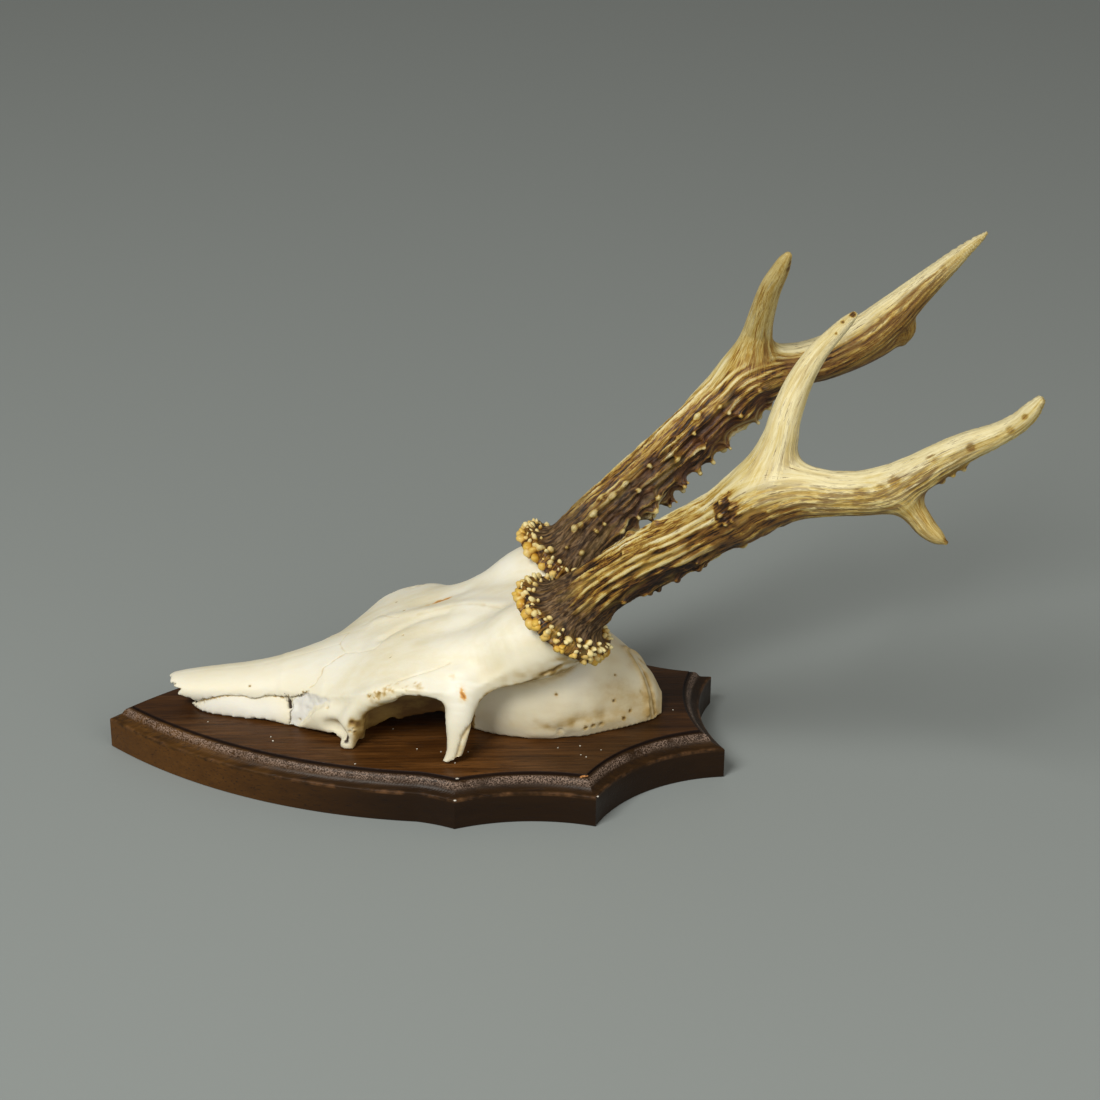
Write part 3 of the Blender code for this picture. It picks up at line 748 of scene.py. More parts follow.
def without(mesh, cutter_mesh):
    """The mesh after a Boolean cut."""
    body = bpy.data.objects.new("body", mesh)
    cutter = bpy.data.objects.new("cutter", cutter_mesh)
    for thing in (body, cutter):
        bpy.context.scene.collection.objects.link(thing)
    modifier = body.modifiers.new("cut", "BOOLEAN")
    modifier.object, modifier.operation, modifier.solver = cutter, "DIFFERENCE", "EXACT"
    modifier.use_self = True
    graph = bpy.context.evaluated_depsgraph_get()
    result = bpy.data.meshes.new_from_object(body.evaluated_get(graph), depsgraph=graph)
    for thing in (body, cutter):
        bpy.data.objects.remove(thing)
    return result


# %% [markdown]
# ## Growing with Geometry Nodes
# Threads, pearls and crumbs repeat or follow a rule, which Geometry Nodes do well.
# `new_tree` starts a tree with named inputs, `finished` ends it, and `grown` runs it
# on a mesh and keeps the result as a plain mesh, so that no modifier is left.

# %% Geometry Nodes helpers
def new_tree(name, **inputs):
    """A Geometry Nodes tree with a geometry input, and named inputs of the given socket kinds."""
    tree = bpy.data.node_groups.new(name, "GeometryNodeTree")
    tree.interface.new_socket("Geometry", in_out="INPUT", socket_type="NodeSocketGeometry")
    for title, kind in inputs.items():
        tree.interface.new_socket(title, in_out="INPUT", socket_type="NodeSocket" + kind)
    tree.interface.new_socket("Geometry", in_out="OUTPUT", socket_type="NodeSocketGeometry")
    return tree, tree.nodes.new("NodeGroupInput"), tree.nodes.new("NodeGroupOutput")


def finished(tree, geometry, material, output):
    """Realize Instances, Set Material and the tree's output."""
    real = add_node(tree, "GeometryNodeRealizeInstances", Geometry=geometry)
    painted = add_node(tree, "GeometryNodeSetMaterial", Geometry=real.outputs[0], Material=material)
    tree.links.new(painted.outputs[0], output.inputs[0])


def grown(mesh, tree, **values):
    """The plain mesh that a Geometry Nodes tree makes from a mesh."""
    carrier = bpy.data.objects.new("carrier", mesh)
    bpy.context.scene.collection.objects.link(carrier)
    modifier = carrier.modifiers.new("nodes", "NODES")
    modifier.node_group = tree
    for item in tree.interface.items_tree:
        if item.in_out == "INPUT" and item.name in values:
            modifier[item.identifier] = values[item.name]
    graph = bpy.context.evaluated_depsgraph_get()
    result = bpy.data.meshes.new_from_object(carrier.evaluated_get(graph), preserve_all_data_layers=True,
                                             depsgraph=graph)
    bpy.data.objects.remove(carrier)
    return result


# %% [markdown]
# ## Thread
# A thread is a ridge that winds round the shank. The tree sweeps a small triangular
# section along a spiral, which gives it its true pitch at any length.

# %% Thread
THREAD_START = 12.5
THREAD_LENGTH = 19.5
THREAD_PITCH = 1.8
THREAD_RADIUS = 1.55


def thread_tree():
    tree, given, output = new_tree("screw thread", Turns="Float", Height="Float", Radius="Float",
                                   Finish="Material")
    spiral = add_node(tree, "GeometryNodeCurveSpiral", Resolution=20)
    for socket, name in (("Rotations", "Turns"), ("Height", "Height"), ("Start Radius", "Radius"),
                         ("End Radius", "Radius")):
        tree.links.new(given.outputs[name], spiral.inputs[socket])
    section = add_node(tree, "GeometryNodeCurvePrimitiveCircle", Resolution=3, Radius=0.55)
    thread = add_node(tree, "GeometryNodeCurveToMesh", Curve=spiral.outputs[0],
                      Profile_Curve=section.outputs[0], Fill_Caps=True)
    lifted = add_node(tree, "GeometryNodeTransform", Geometry=thread.outputs[0],
                      Translation=(0.0, 0.0, THREAD_START))
    both = tree.nodes.new("GeometryNodeJoinGeometry")
    tree.links.new(given.outputs["Geometry"], both.inputs[0])
    tree.links.new(lifted.outputs[0], both.inputs[0])
    finished(tree, both.outputs[0], given.outputs["Finish"], output)
    return tree


# %% [markdown]
# ## Steel and both screws
# Zinc plate goes dull in patches, so a noise drives both its colour and its gloss.

# %% Steel and both screws
def steel_material():
    material, tree, shader = start_material("zinc-plated steel")
    place = object_place(tree)
    cloud = noise_node(tree, place, 400.0, 3.0)
    colour = steps(tree, cloud, [(0.35, (0.42, 0.40, 0.34)), (0.65, (0.66, 0.65, 0.62))])
    tree.links.new(colour, shader.inputs["Base Color"])
    set_inputs(shader, Metallic=1.0)
    tree.links.new(times_plus(tree, cloud, 0.3, 0.22), shader.inputs["Roughness"])
    return material


STEEL = steel_material()
THREAD = thread_tree()
for screw, (x, y) in zip(("screw_front", "screw_rear"), SCREW_SPOTS):
    body = without(screw_body(), cross_cutter())
    body = grown(body, THREAD, Turns=THREAD_LENGTH / THREAD_PITCH, Height=THREAD_LENGTH, Radius=THREAD_RADIUS,
                 Finish=STEEL)
    body.transform(Matrix.Translation((x * MM, y * MM, 0.0)) @ Matrix.Scale(MM, 4))
    body.set_sharp_from_angle(angle=SHARP_ANGLE)
    add_piece(screw, body, STEEL, "steel", "skull_" + screw)

# %% [markdown]
# ## Bone
# Boiled and bleached bone is warm white and dull, with a waxy glow, which a little
# subsurface light gives. It is yellower near the shield. Where the attribute for dirt
# and painted shade is high it turns tan and then dark brown: dirt in the sutures, and
# painted shade in hollows, under overhangs and inside the orbits. `stain` marks the
# few rust-coloured spots, `pale` the thin bluish plates beside the nose, and the
# painted hole shade puts near-black shade into the openings that one looks into.
# Painted maps could say the same, but attributes need no unwrapping.

# %% Bone
def bone_material():
    material, tree, shader = start_material("bleached bone")
    place = object_place(tree)
    dirt_and_shade, stain, pale, hole = (attribute(tree, name) for name in ("dirt_and_shade", "stain", "pale", "hole"))
    cloud = noise_node(tree, place, 26.0, 3.0)
    fine = noise_node(tree, stretched(tree, place, (0.4, 1.0, 1.0)), 210.0, 4.0, 0.6)
    level = times_plus(tree, centred(tree, fine), 0.45, cloud)
    body = steps(tree, level, [(0.28, (0.82, 0.76, 0.55)), (0.47, (0.88, 0.85, 0.70)),
                               (0.66, (0.90, 0.89, 0.79))])
    height = add_node(tree, "ShaderNodeSeparateXYZ", Vector=place).outputs["Z"]
    low = times_plus(tree, ramp_up(tree, height, 0.022, 0.048), -0.5, 0.5)
    body = mix(tree, low, body, (0.74, 0.67, 0.46))
    body = mix(tree, times(tree, pale, 0.85), body, (0.74, 0.74, 0.71))
    # Dirt in the sutures, and painted shade in hollows, under overhangs and in the orbits, turn the bone tan
    # and then dark brown.
    patchy = times_plus(tree, centred(tree, fine), 0.9, 1.0)
    worn = math_node(tree, "MINIMUM", times(tree, dirt_and_shade, patchy), 1.0)
    tan = steps(tree, worn, [(0.0, (0.78, 0.66, 0.36)), (0.5, (0.52, 0.35, 0.10)),
                             (1.0, (0.16, 0.080, 0.018))])
    body = mix(tree, ramp_up(tree, worn, 0.0, 0.75), body, tan)
    rust = steps(tree, stain, [(0.0, (0.84, 0.68, 0.36)), (0.6, (0.72, 0.36, 0.08)),
                               (1.0, (0.36, 0.12, 0.02))])
    body = mix(tree, ramp_up(tree, stain, 0.05, 0.55), body, rust)
    # Painted shade: near-black inside the openings that one looks into.
    body = mix(tree, hole, body, (0.035, 0.018, 0.008))
    tree.links.new(body, shader.inputs["Base Color"])
    set_inputs(shader, Roughness=0.56, Subsurface_Weight=0.12, Subsurface_Radius=(1.0, 0.75, 0.45),
               Subsurface_Scale=0.0022)
    pores = noise_node(tree, place, 1100.0, 2.0)
    relief = times_plus(tree, pores, 0.3, fine)
    bump_up(tree, shader, relief, 0.34, 0.3)
    return material


BONE = bone_material()

# %% [markdown]
# ## Skull: stations
# A roebuck's skull is a long wedge: a thin roof over the nose, the cheeks, a vaulted
# forehead that carries the antlers, and a round braincase. It could be sculpted
# from a ball, but a few cross-sections can be checked and moved one at a time. They
# are in a frame of the skull's own: x from the nose (-100) to the back of the head,
# y across from the midline and z as in the world.

# %% Skull stations
NOSE = (-100.0, 6.0, 0.0)
SKULL_TURN = math.radians(-3.2)
SKULL_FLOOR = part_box("skull")[0].z / MM
BLANK_FLOOR = SKULL_FLOOR - 6.0


def along_x(stations):
    """The stations and a smooth curve between them, as a table by x."""
    return np.delete(smooth_path([(x, 0.0, 0.0, *rest) for x, *rest in stations], 1.0), (1, 2), 1)


# (x, half width, lowest, highest, squareness)
NASAL_ROOF = along_x([(-101.5, 3.5, 23.5, 28, 2), (-99, 6.5, 21.5, 30, 2),
                      (-90, 9.5, 19.5, 31.6, 2), (-79, 11, 18, 33.2, 2),
                      (-66, 12.5, 18, 35, 2), (-50, 15, 18, 38.8, 2),
                      (-36, 19, 18, 43, 2), (-22, 22, 18, 48, 2)])
CHEEKS = along_x([(-52, 19.6, BLANK_FLOOR, 32, 2.4), (-46, 23.4, BLANK_FLOOR, 34, 2.4),
                  (-40, 27, BLANK_FLOOR, 36.5, 2.4), (-27, 35, BLANK_FLOOR, 41, 2.4),
                  (-23, 36.5, BLANK_FLOOR, 43, 2.4), (-18, 36, BLANK_FLOOR, 44.5, 2.4)])
BETWEEN_EYES = along_x([(-34, 24, BLANK_FLOOR, 40, 2.8), (-20, 24, BLANK_FLOOR, 42, 3.6),
                        (-7, 22, BLANK_FLOOR, 46, 4), (12, 22, BLANK_FLOOR, 52, 3.6),
                        (24, 24, BLANK_FLOOR, 55, 2.6), (50, 26, BLANK_FLOOR, 58, 2.2)])
BRAINCASE = along_x([(20, 18, 2, 46, 2.1), (31, 25.5, 2, 54, 2.1), (43, 29.8, 2, 60, 2.1),
                     (56, 30.8, 2, 61, 2.1), (70, 27, 2, 56.5, 2.1), (82, 20.5, 2, 48.5, 2.1),
                     (92, 15, 2, 40, 2.1), (98, 11, 2, 32.5, 2.1),
                     (101.5, 7, 2, 25, 2.1)])
NASAL_CAVITY = along_x([(-120, 5, 12, 26, 2.2), (-95, 5.5, 12, 27.6, 2.2),
                        (-86, 7, 12, 29, 2.2), (-76, 8.6, 12, 30.4, 2.2),
                        (-60, 10, 12, 32.5, 2.2), (-44, 9.5, 12, 33, 2.2)])
# Side plates of the nose: (x, half width below, half width at the top, top)
SIDE_WALL = along_x([(-91.5, 6.3, 5.6, 20.6), (-87.5, 9.8, 8, 22.4), (-82.4, 12.6, 9.4, 24.8),
                     (-76.5, 14.3, 10.4, 26.7), (-68, 16.2, 11.4, 27), (-64.5, 17.2, 11.9, 26.7),
                     (-57.5, 18.9, 12.8, 28.3), (-50.5, 20.8, 14, 28.7), (-46, 22, 16, 30.8),
                     (-41.2, 23.8, 18, 34.2), (-36, 26.6, 21.8, 35.5), (-28, 30, 26.5, 36.5)])
# (x, half width, crown height, edge height, thickness)
FOREHEAD = along_x([(-52, 13.5, 36.8, 30, 9), (-42, 20, 40, 33, 8.5),
                    (-32, 27, 43.6, 36, 8), (-22, 34.6, 48.2, 41, 7),
                    (-12, 41, 53, 46.4, 6), (2, 44.5, 58, 49.6, 6),
                    (12, 44.5, 61.5, 48.6, 6.5), (22, 41.5, 65.5, 46.2, 9),
                    (34, 39.5, 69, 52, 12), (46, 39, 72, 58.6, 14),
                    (56, 37, 70.5, 62, 14)])
# (x, distance from the midline, z, radius)
BEHIND_EYE = smooth_path([(22, 37, 48, 7), (21.4, 41.5, 42, 6.2), (20.6, 44.5, 35, 5.1),
                          (19.8, 46.8, 27, 3.7), (18.4, 48, 21.5, 3), (16.4, 48.8, 17.5, 3),
                          (14.6, 49.2, 14, 3.2)], 3)
BEFORE_EYE = smooth_path([(-6, 40, 44.5, 2.6), (-15, 38, 40, 3.2), (-21, 36.5, 34, 3.4),
                          (-23.5, 36.3, 27, 3.4), (-24, 37.2, 20.5, 2.9), (-23.8, 37.8, 14, 2.6)], 3)
PEDICLE = smooth_path([(6, 24, 45, 6), (22, 24.5, 51, 9.5), (36, 25, 56.5, 12.5),
                       (46, 25.2, 61, 15.5), (56.7, 25.1, 66.4, 16.5), (61.5, 25.6, 72.8, 17.5)], 3)
BURR_CENTRE = np.array([61.5, 25.6, 72.8])
BURR_NORMAL = np.array([0.60, 0.06, 0.80]) / np.linalg.norm([0.60, 0.06, 0.80])
BURR_RADIUS = 22.5
BURR_OVAL = 0.94
BURR_THICKNESS = 7.0
GAP = 0.3

# Broken lower edge of the nasal bones, and the lower edges beside and between the orbits: (x, z)
NASAL_EDGE = [(-99.9, 34), (-99.7, 29.5), (-99.2, 28.2), (-96.8, 28), (-94.4, 27.6), (-96.1, 24.9),
              (-92.6, 24.3), (-90.3, 24), (-89.6, 23.2), (-87.3, 22.6), (-82.4, 24.6), (-76.5, 26.5),
              (-67.9, 26.8), (-66, 26), (-64.6, 26.5), (-62.8, 25.9), (-60.5, 27.4), (-57.5, 28.1),
              (-50.5, 28.4), (-46, 30.6), (-41.2, 34), (-39, 10), (70, 10), (70, 90),
              (-99, 90)]
LACRIMAL_EDGE = [(-47.4, 18), (-43.4, 21.6), (-40.2, 25.8), (-37.8, 29.6), (-35.4, 31), (-32.4, 33.6),
                 (-29.4, 37), (-20, 44), (-10, 44), (-10, 5), (-47.4, 5)]
CHEEK_HEM = [(-91.5, 19.8), (-87, 19.2), (-66, 19.2), (-59, 20), (-52, 19.2), (-46.5, 18.9),
             (-40.6, 20), (-34.1, 21.4), (-29.4, 21.6), (-27.3, 20), (-25.6, 18.6), (-20, 18.6)]
ORBIT_HEM = [(-23, 16), (-20.5, 17.6), (-14, 20.6), (-8.4, 23.8), (-6.4, 24.2), (-5.2, 22.8),
             (-2, 24.2), (4, 25.6), (12.2, 27.4), (18, 24.6), (24, 19)]
# The thin pale plate in the gap beside the nose: (x, z)
GAP_OUTLINE = [(-49.2, 18), (-49.4, 25.3), (-48.8, 28.6), (-45.5, 31), (-41, 34.2), (-37.7, 34.5),
               (-35, 34.8), (-31, 35), (-32.4, 33.4), (-35.4, 31), (-37.8, 29.6), (-40.2, 25.8),
               (-43.4, 21.6), (-47, 18)]


print("rows in the tables:", len(NASAL_ROOF), len(CHEEKS), len(BETWEEN_EYES), len(BRAINCASE), len(FOREHEAD))


def world_from_skull(side=1.0):
    turn = Matrix.Translation(NOSE) @ Matrix.Rotation(SKULL_TURN, 4, "Z")
    return turn @ Matrix.Translation((100.0, 0.0, 0.0)) @ Matrix.Diagonal((1.0, side, 1.0, 1.0))


# %% [markdown]
# ## Skull: fields
# `section_field` measures to a stack of rounded sections, `wall_field` to the thin
# plates beside the nose, `plate_field` to the vaulted plate of the forehead and
# `limb_field` to a tapering limb. The nasal bones end in a broken edge over the
# side plates, and the front edge of the lacrimal stands proud of them.

# %% Skull fields
def rows_at(table, x):
    """Every column of a table at x, and the distance past its ends."""
    columns = [np.interp(x, table[:, 0], table[:, i]) for i in range(1, table.shape[1])]
    return columns, np.maximum(table[0, 0] - x, x - table[-1, 0])


def capped(side, cap):
    """Distance to a long body that ends where cap is zero."""
    outside = np.hypot(np.maximum(side, 0), np.maximum(cap, 0))
    return np.where((side > 0) | (cap > 0), outside, np.maximum(side, cap))


def section_field(p, sections):
    (half, low, high, power), cap = rows_at(sections, p[:, 0])
    tall = (high - low) / 2
    a = np.abs(p[:, 1]) / half
    b = np.abs(p[:, 2] - low - tall) / tall
    size = (a ** power + b ** power) ** (1 / power) + 1e-6
    slope = np.hypot(a ** (power - 1) / half, b ** (power - 1) / tall) * size ** (1 - power)
    return capped((size - 1) / np.maximum(slope, 0.02), cap)


def wall_field(p):
    (below, above, top), cap = rows_at(SIDE_WALL, p[:, 0])
    rise = np.clip((p[:, 2] - SKULL_FLOOR) / (top - SKULL_FLOOR), 0, 1.1)
    side = (np.abs(p[:, 1]) - above - (below - above) * (1 - rise ** 2)) / 1.15
    return capped(capped(side, p[:, 2] - top - 0.6), cap)


def plate_field(p):
    (half, crown, edge, thick), cap = rows_at(FOREHEAD, p[:, 0])
    t = np.minimum(np.abs(p[:, 1]) / half, 1.0)
    edge = edge + 1.6 * ramp(p[:, 1], 10.0, 36.0) * ramp(-p[:, 0], -26.0, -12.0)
    top = edge + (crown - edge) * (1 - t ** 2.4)
    lean = (crown - edge) * 2.4 * t ** 1.4 / half
    thick = thick * (1 - 0.52 * t ** 3)
    side = (np.abs(p[:, 2] - top + thick / 2) - thick / 2) / np.sqrt(1 + lean ** 2)
    return capped(capped(side, np.abs(p[:, 1]) - half), cap)


def limb_field(p, path, flat):
    """Distance to a tapering limb on each side of the midline; only near it."""
    q = np.column_stack([p[:, 0], np.abs(p[:, 1]), p[:, 2]])
    reach = path[:, 3].max() + 14.0
    near = np.flatnonzero(((q > path[:, :3].min(0) - reach) & (q < path[:, :3].max(0) + reach)).all(1))
    q, best = q[near], np.full(len(near), 1e9)
    for a, b in zip(path, path[1:]):
        axis = b[:3] - a[:3]
        share = np.clip((q - a[:3]) @ axis / (axis @ axis), 0, 1)
        offset = q - a[:3] - share[:, None] * axis
        offset[:, 1] /= flat
        best = np.minimum(best, np.sqrt((offset ** 2).sum(1)) - (a[3] + share * (b[3] - a[3])))
    value = np.full(len(p), 1e3)
    value[near] = best * flat
    return value


def ball_field(p, centre, radii):
    """An ellipsoid on each side of the midline."""
    q = (np.column_stack([p[:, 0], np.abs(p[:, 1]), p[:, 2]]) - centre) / radii
    size = np.linalg.norm(q, axis=1) + 1e-6
    return (size - 1) * size / (np.linalg.norm(q / radii, axis=1) + 1e-6)


# %% [markdown]
# ## Skull: one field
# The bones are joined with fillets, as they fuse in the animal. Then the nose is
# hollowed, its broken edges are cut, the antlers' seats are levelled and the
# underside is sawn flat. Booleans on meshes would leave hard seams at every join.

# %% The whole skull as one field
def skull_field(p):
    x, y, z = p.T
    wide = np.abs(y)
    value = join(section_field(p, NASAL_ROOF), section_field(p, BETWEEN_EYES), 4.0)
    value = join(value, plate_field(p), 4.0)
    shifted = x + np.where(y > 0, 1.3, 0.0)
    ragged = outline_field(shifted + 0.35 * noise(p, 1.7, 5), z + 0.3 * noise(p, 1.5, 6), NASAL_EDGE)
    value = meet(value, ragged, 0.5)
    front = outline_field(x, z + 0.5 * noise(p, 2.2, 7), LACRIMAL_EDGE)
    value = join(value, meet(section_field(p, CHEEKS), front, 0.8), 2.0)
    value = join(value, wall_field(p), 0.4)
    value = join(value, limb_field(p, PEDICLE, 1.0), 6.0)
    value = join(value, limb_field(p, BEHIND_EYE, 0.62), 4.0)
    value = join(value, limb_field(p, BEFORE_EYE, 0.8), 5.0)
    value = join(value, section_field(p, BRAINCASE), 3.0)
    value = cut(value, section_field(p, NASAL_CAVITY), 1.0)
    value = cut(value, ball_field(p, (-32.0, 36.2, 25.4), (8.0, 6.4, 4.4)), 2.0)
    seat = np.column_stack([x, wide, z]) - BURR_CENTRE
    above = seat @ BURR_NORMAL + BURR_THICKNESS / 2 + GAP
    value = np.where(np.linalg.norm(seat, axis=1) < 40.0, np.maximum(value, above), value)
    hem = np.where(x < -19.0, np.interp(x, *zip(*CHEEK_HEM)), SKULL_FLOOR)
    hem = np.where((wide < 33.0) & (x > -23.0) & (x < 24.0), np.interp(x, *zip(*ORBIT_HEM)), hem)
    foot = (wide > 42.0) & (x > 10.0) & (x < 30.0)
    hem = np.where(foot, SKULL_FLOOR + 0.42 * np.clip(x - 14.2, 0.0, 7.0), hem)
    return np.maximum(value, np.maximum(hem, SKULL_FLOOR) - z)


# %% [markdown]
# ## Skull: marks
# Sutures, cracks, ridges and small holes are drawn as rough paths in the skull's
# frame. `paths_on` lays each one onto the bone, and then the skin is pushed in or
# out beside it and its colour changed. Most marks are on both halves.

# %% Skull marks
# (depth, width, dirt, painted shade in a hole or crack, both sides, path); a negative depth is a ridge
MARKS = [
    (0.7, 0.20, 0.4, 0.40, True, [(-87.3, -9.6, 22.9), (-82.3, -10.6, 24.8), (-76.5, -11.2, 26.6),
                                 (-67.9, -12.4, 26.9), (-64.5, -13, 26.4), (-57.4, -14, 28.2),
                                 (-51, -15.2, 28.6), (-45.6, -17.6, 31),
                                 (-41.2, -19.5, 34.2)]),  # under the nasal bone
    (1.1, 0.20, 0.3, 0.7, True, [(-49.9, -17, 29), (-48.7, -19.4, 27.4), (-49.4, -20.6, 25),
                                 (-49, -21.4, 22), (-49.6, -21.8, 19)]),  # down the side plate
    (1.6, 0.85, 0, 1, False, [(-50.8, -16.6, 28.2), (-49.8, -17.6, 27.8), (-49.4, -18.6, 26.9)]),
    (0.13, 0.34, 0.30, 0, True, [(-40.6, -18.5, 35.4), (-38.6, -18.6, 37.2), (-37.2, -16.8, 38.8),
                                   (-36, -15.9, 40.2), (-35.4, -13.2, 41.6), (-32.2, -11.6, 43.4),
                                   (-30.4, -10.4, 44.6), (-27, -8.9, 46.2), (-28.6, -4.6, 46.2),
                                   (-29.9, 0, 45.8)]),  # nasal suture
    (0.12, 0.45, 0.22, 0, True, [(-27, -8.9, 46.2), (-20, -12.4, 49), (-13.9, -14, 51.4),
                                   (-10.4, -8, 53.4), (-6, -5, 55.2)]),
    (0.08, 0.34, 0.06, 0, False, [(-97, 0, 30), (-80, 0, 33), (-60, 0, 36.5),
                                    (-45, 0, 40), (-30, 0, 45.8)]),  # between the nasal bones
    (-0.9, 3.6, 0, 0, False, [(-16, 9, 51), (-6.7, 7.4, 54.8), (2, 5.2, 58), (14.5, 1.5, 62.5),
                                  (26, -3, 66.5), (36, -8, 69)]),  # ridge of the forehead
    (0.7, 2.4, 0.10, 0, False, [(-12, -8.5, 52.6), (-5, -4.8, 55.4), (1, -2.4, 57.5),
                                  (8, -1.6, 60), (14, -2.6, 62)]),
    (0.10, 0.7, 0.22, 0, False, [(2, 2.6, 58), (14.5, 0.4, 62.5), (24, -3.6, 66),
                                   (34.4, -10.4, 68.5), (38, -16, 70)]),
    (0.8, 4.6, 0.05, 0, False, [(4, 14, 57.6), (10.6, 13.4, 60), (18, 14, 62.6)]),
    (0.8, 4.6, 0, 0, False, [(6, -15, 58), (14, -15, 61), (22, -16, 63.6)]),
    (0.25, 0.5, 0.18, 0, True, [(-2.9, -39.2, 50.5), (4.9, -37.6, 52.9), (11, -35.6, 54.1),
                                  (16.5, -33.6, 55.9)]),
    (0.9, 0.9, 0.22, 0, True, [(24.6, -43, 37), (22.6, -47.6, 31), (21.2, -49, 26),
                                 (20, -49.8, 21)]),
    (0.7, 0.9, 0.40, 0, True, [(25.5, -41, 38.5), (28.5, -40.4, 41.8), (31.6, -39.8, 44),
                                  (36, -39.4, 46.6), (41, -39, 48.8), (46.1, -38, 51.2),
                                  (53.2, -37, 55.4), (60, -37, 59.4)]),
    (0.7, 0.5, 0.3, 0.7, True, [(36.4, -39, 44), (39.4, -38.6, 45.2)]),
    (-0.45, 2.6, 0.06, 0, True, [(50, -29.9, 22), (57, -29.6, 22.4), (66.2, -27.9, 24.6),
                                  (72.2, -25.9, 25.4), (78.2, -22.6, 24.6),
                                  (86, -18.6, 24.4)]),  # line along the braincase
    (0.35, 2.2, 0.12, 0, True, [(56, -29.6, 24.6), (62, -28.6, 26), (70, -26.8, 27.4),
                                  (77, -23.6, 27)]),
    (-0.8, 1.1, 0.22, 0, True, [(86, 0, 46), (89.2, -4, 42), (93, -8.1, 36.1),
                                  (95.1, -10.7, 29.7), (95.7, -12.5, 22.4)]),  # crest at the nape
    (0.7, 0.8, 0.28, 0, True, [(92.1, -2.1, 39.7), (96.3, -6, 33.1), (97.6, -8.6, 28.1),
                                 (98.5, -9.5, 21)]),
    (0.3, 0.6, 0.15, 0, True, [(94, -12.6, 33), (96.4, -11.4, 26), (97, -11, 20)]),
]
# Small holes: (radius, depth, dirt, painted shade inside, x, y, z)
PITS = [
    (1.30, 1.1, 0.80, 0, -22.2, -38.9, 31), (1.30, 0.7, 0, 1, -24.5, -38.9, 24.2),
    (1.30, 0.7, 0, 1, -24.5, -38.9, 22.8), (0.5, 0.5, 0.3, 0, -21.4, -39, 28.4),
    (0.5, 0.5, 0.3, 0, -22.8, -38.6, 27.4), (0.45, 0.4, 0.3, 0, -20.8, -39.2, 26.8),
    (0.6, 0.9, 0.5, 0.6, 81.7, -19.9, 32.3), (0.4, 0.6, 0.5, 0.4, 81.9, -15.1, 41.6),
    (0.5, 0.6, 0.6, 0.3, 88.3, -16.9, 26.1), (0.5, 0.5, 0.6, 0.2, 85.5, -18.6, 23.8),
    (0.9, 0.8, 0.45, 0.1, 76.6, -23.5, 23.6), (0.7, 0.8, 0.5, 0.2, 73.4, -25.2, 23.8),
    (0.6, 0.7, 0.5, 0.2, 70.6, -26.5, 23.4), (1.7, 0.9, 0.18, 0, 60.3, -29.2, 23.4),
    (0.35, 0.4, 0.6, 0.3, -66.5, -12, 32.5), (0.4, 0.5, 0.6, 0.2, 58.6, -29, 40),
    (0.35, 0.3, 0.7, 0.4, -8.3, 24, 52), (0.35, 0.3, 0.6, 0.2, -4.4, 10.7, 55.5),
    (0.6, 0.7, 0.35, 0, -33, -29.6, 33), (0.45, 0.5, 0.5, 0.3, -45, -22.6, 22.6),
]
# Rust stains: (strength, width, path)
STAINS = [(1, 1.5, [(8.2, 11.6, 59.7), (10.6, 12.4, 60.4), (13.1, 12.7, 61.2)]),
          (0.35, 2.6, [(3, 10.6, 58), (8, 11.6, 59.6), (13.6, 12.8, 61.2)]),
          (0.40, 1.3, [(17.7, -39.6, 52.9), (18.4, -39.7, 52.7)]),
          (1, 1.1, [(21.8, -42.9, 48.4), (22.2, -43.4, 47.4), (22.6, -43.9, 46.2)]),
          (0.30, 2.4, [(21.4, -42.5, 49.6), (22.6, -44, 45.6)])]
POROUS_BAND = [(-13, -40.6, 44.6), (-10.2, -42, 46.6), (-5.1, -42.4, 49.2), (-0.4, -42.4, 50.6),
               (4.9, -43.4, 50.4)]


print("marks:", len(MARKS), "lines,", len(PITS), "holes,", len(STAINS), "stains")


def mirrored(path):
    return [(x, -y, z) for x, y, z in path]


def mark_paths():
    """(path on the bone, width, depth, dirt, painted hole shade, stain) of every mark."""
    rough = []
    for depth, width, dirt_and_shade, hole, both, path in MARKS:
        rough += [(way, width, depth, dirt_and_shade, hole, 0.0) for way in [path] + [mirrored(path)] * both]
    for radius, depth, dirt_and_shade, hole, x, y, z in PITS:
        for way in ([(x, y, z), (x + 0.2, y, z)], [(x + 1.1, -y, z), (x + 1.3, -y, z)]):
            rough.append((way, radius, depth, dirt_and_shade, hole, 0.0))
    rough += [(path, width, 0.0, 0.0, 0.0, strength) for strength, width, path in STAINS]
    return [(path, *rest) for path, (_, *rest) in zip(paths_on(skull_field, [r[0] for r in rough]), rough)]


# %% [markdown]
# ## Skull: mesh
# The skin is laid once and halved three times, each time closer to the small marks
# and the broken edges. Then `pressed_marks` says how far each mark lifts or sinks
# the skin and what dirt, stain and painted shade in holes it leaves, and
# `build_skull` adds the wear and the painted shade of whole regions.

# %% Skull mesh
SKULL_STEP = 1.08
FINE_REACH = 1.0


def near_marks(points, laid, limit):
    """True for points that small marks or the broken edges make worth a finer mesh."""
    keep = np.zeros(len(points), bool)
    for path, width, depth, *rest in laid:
        if width < (2.0 if limit else 0.35) and depth != 0.0:
            keep |= away_from(path, points, width + limit + 0.1) < width + limit
    x, y, z = points.T
    edge = np.abs(outline_field(x + np.where(y > 0, 1.3, 0.0), z, NASAL_EDGE)) < limit
    lacrimal = np.abs(outline_field(x, z, LACRIMAL_EDGE)) < limit
    return keep | (edge & (x < -41.0)) | (lacrimal & (np.abs(y) > 18.0) & (z > 19.0))


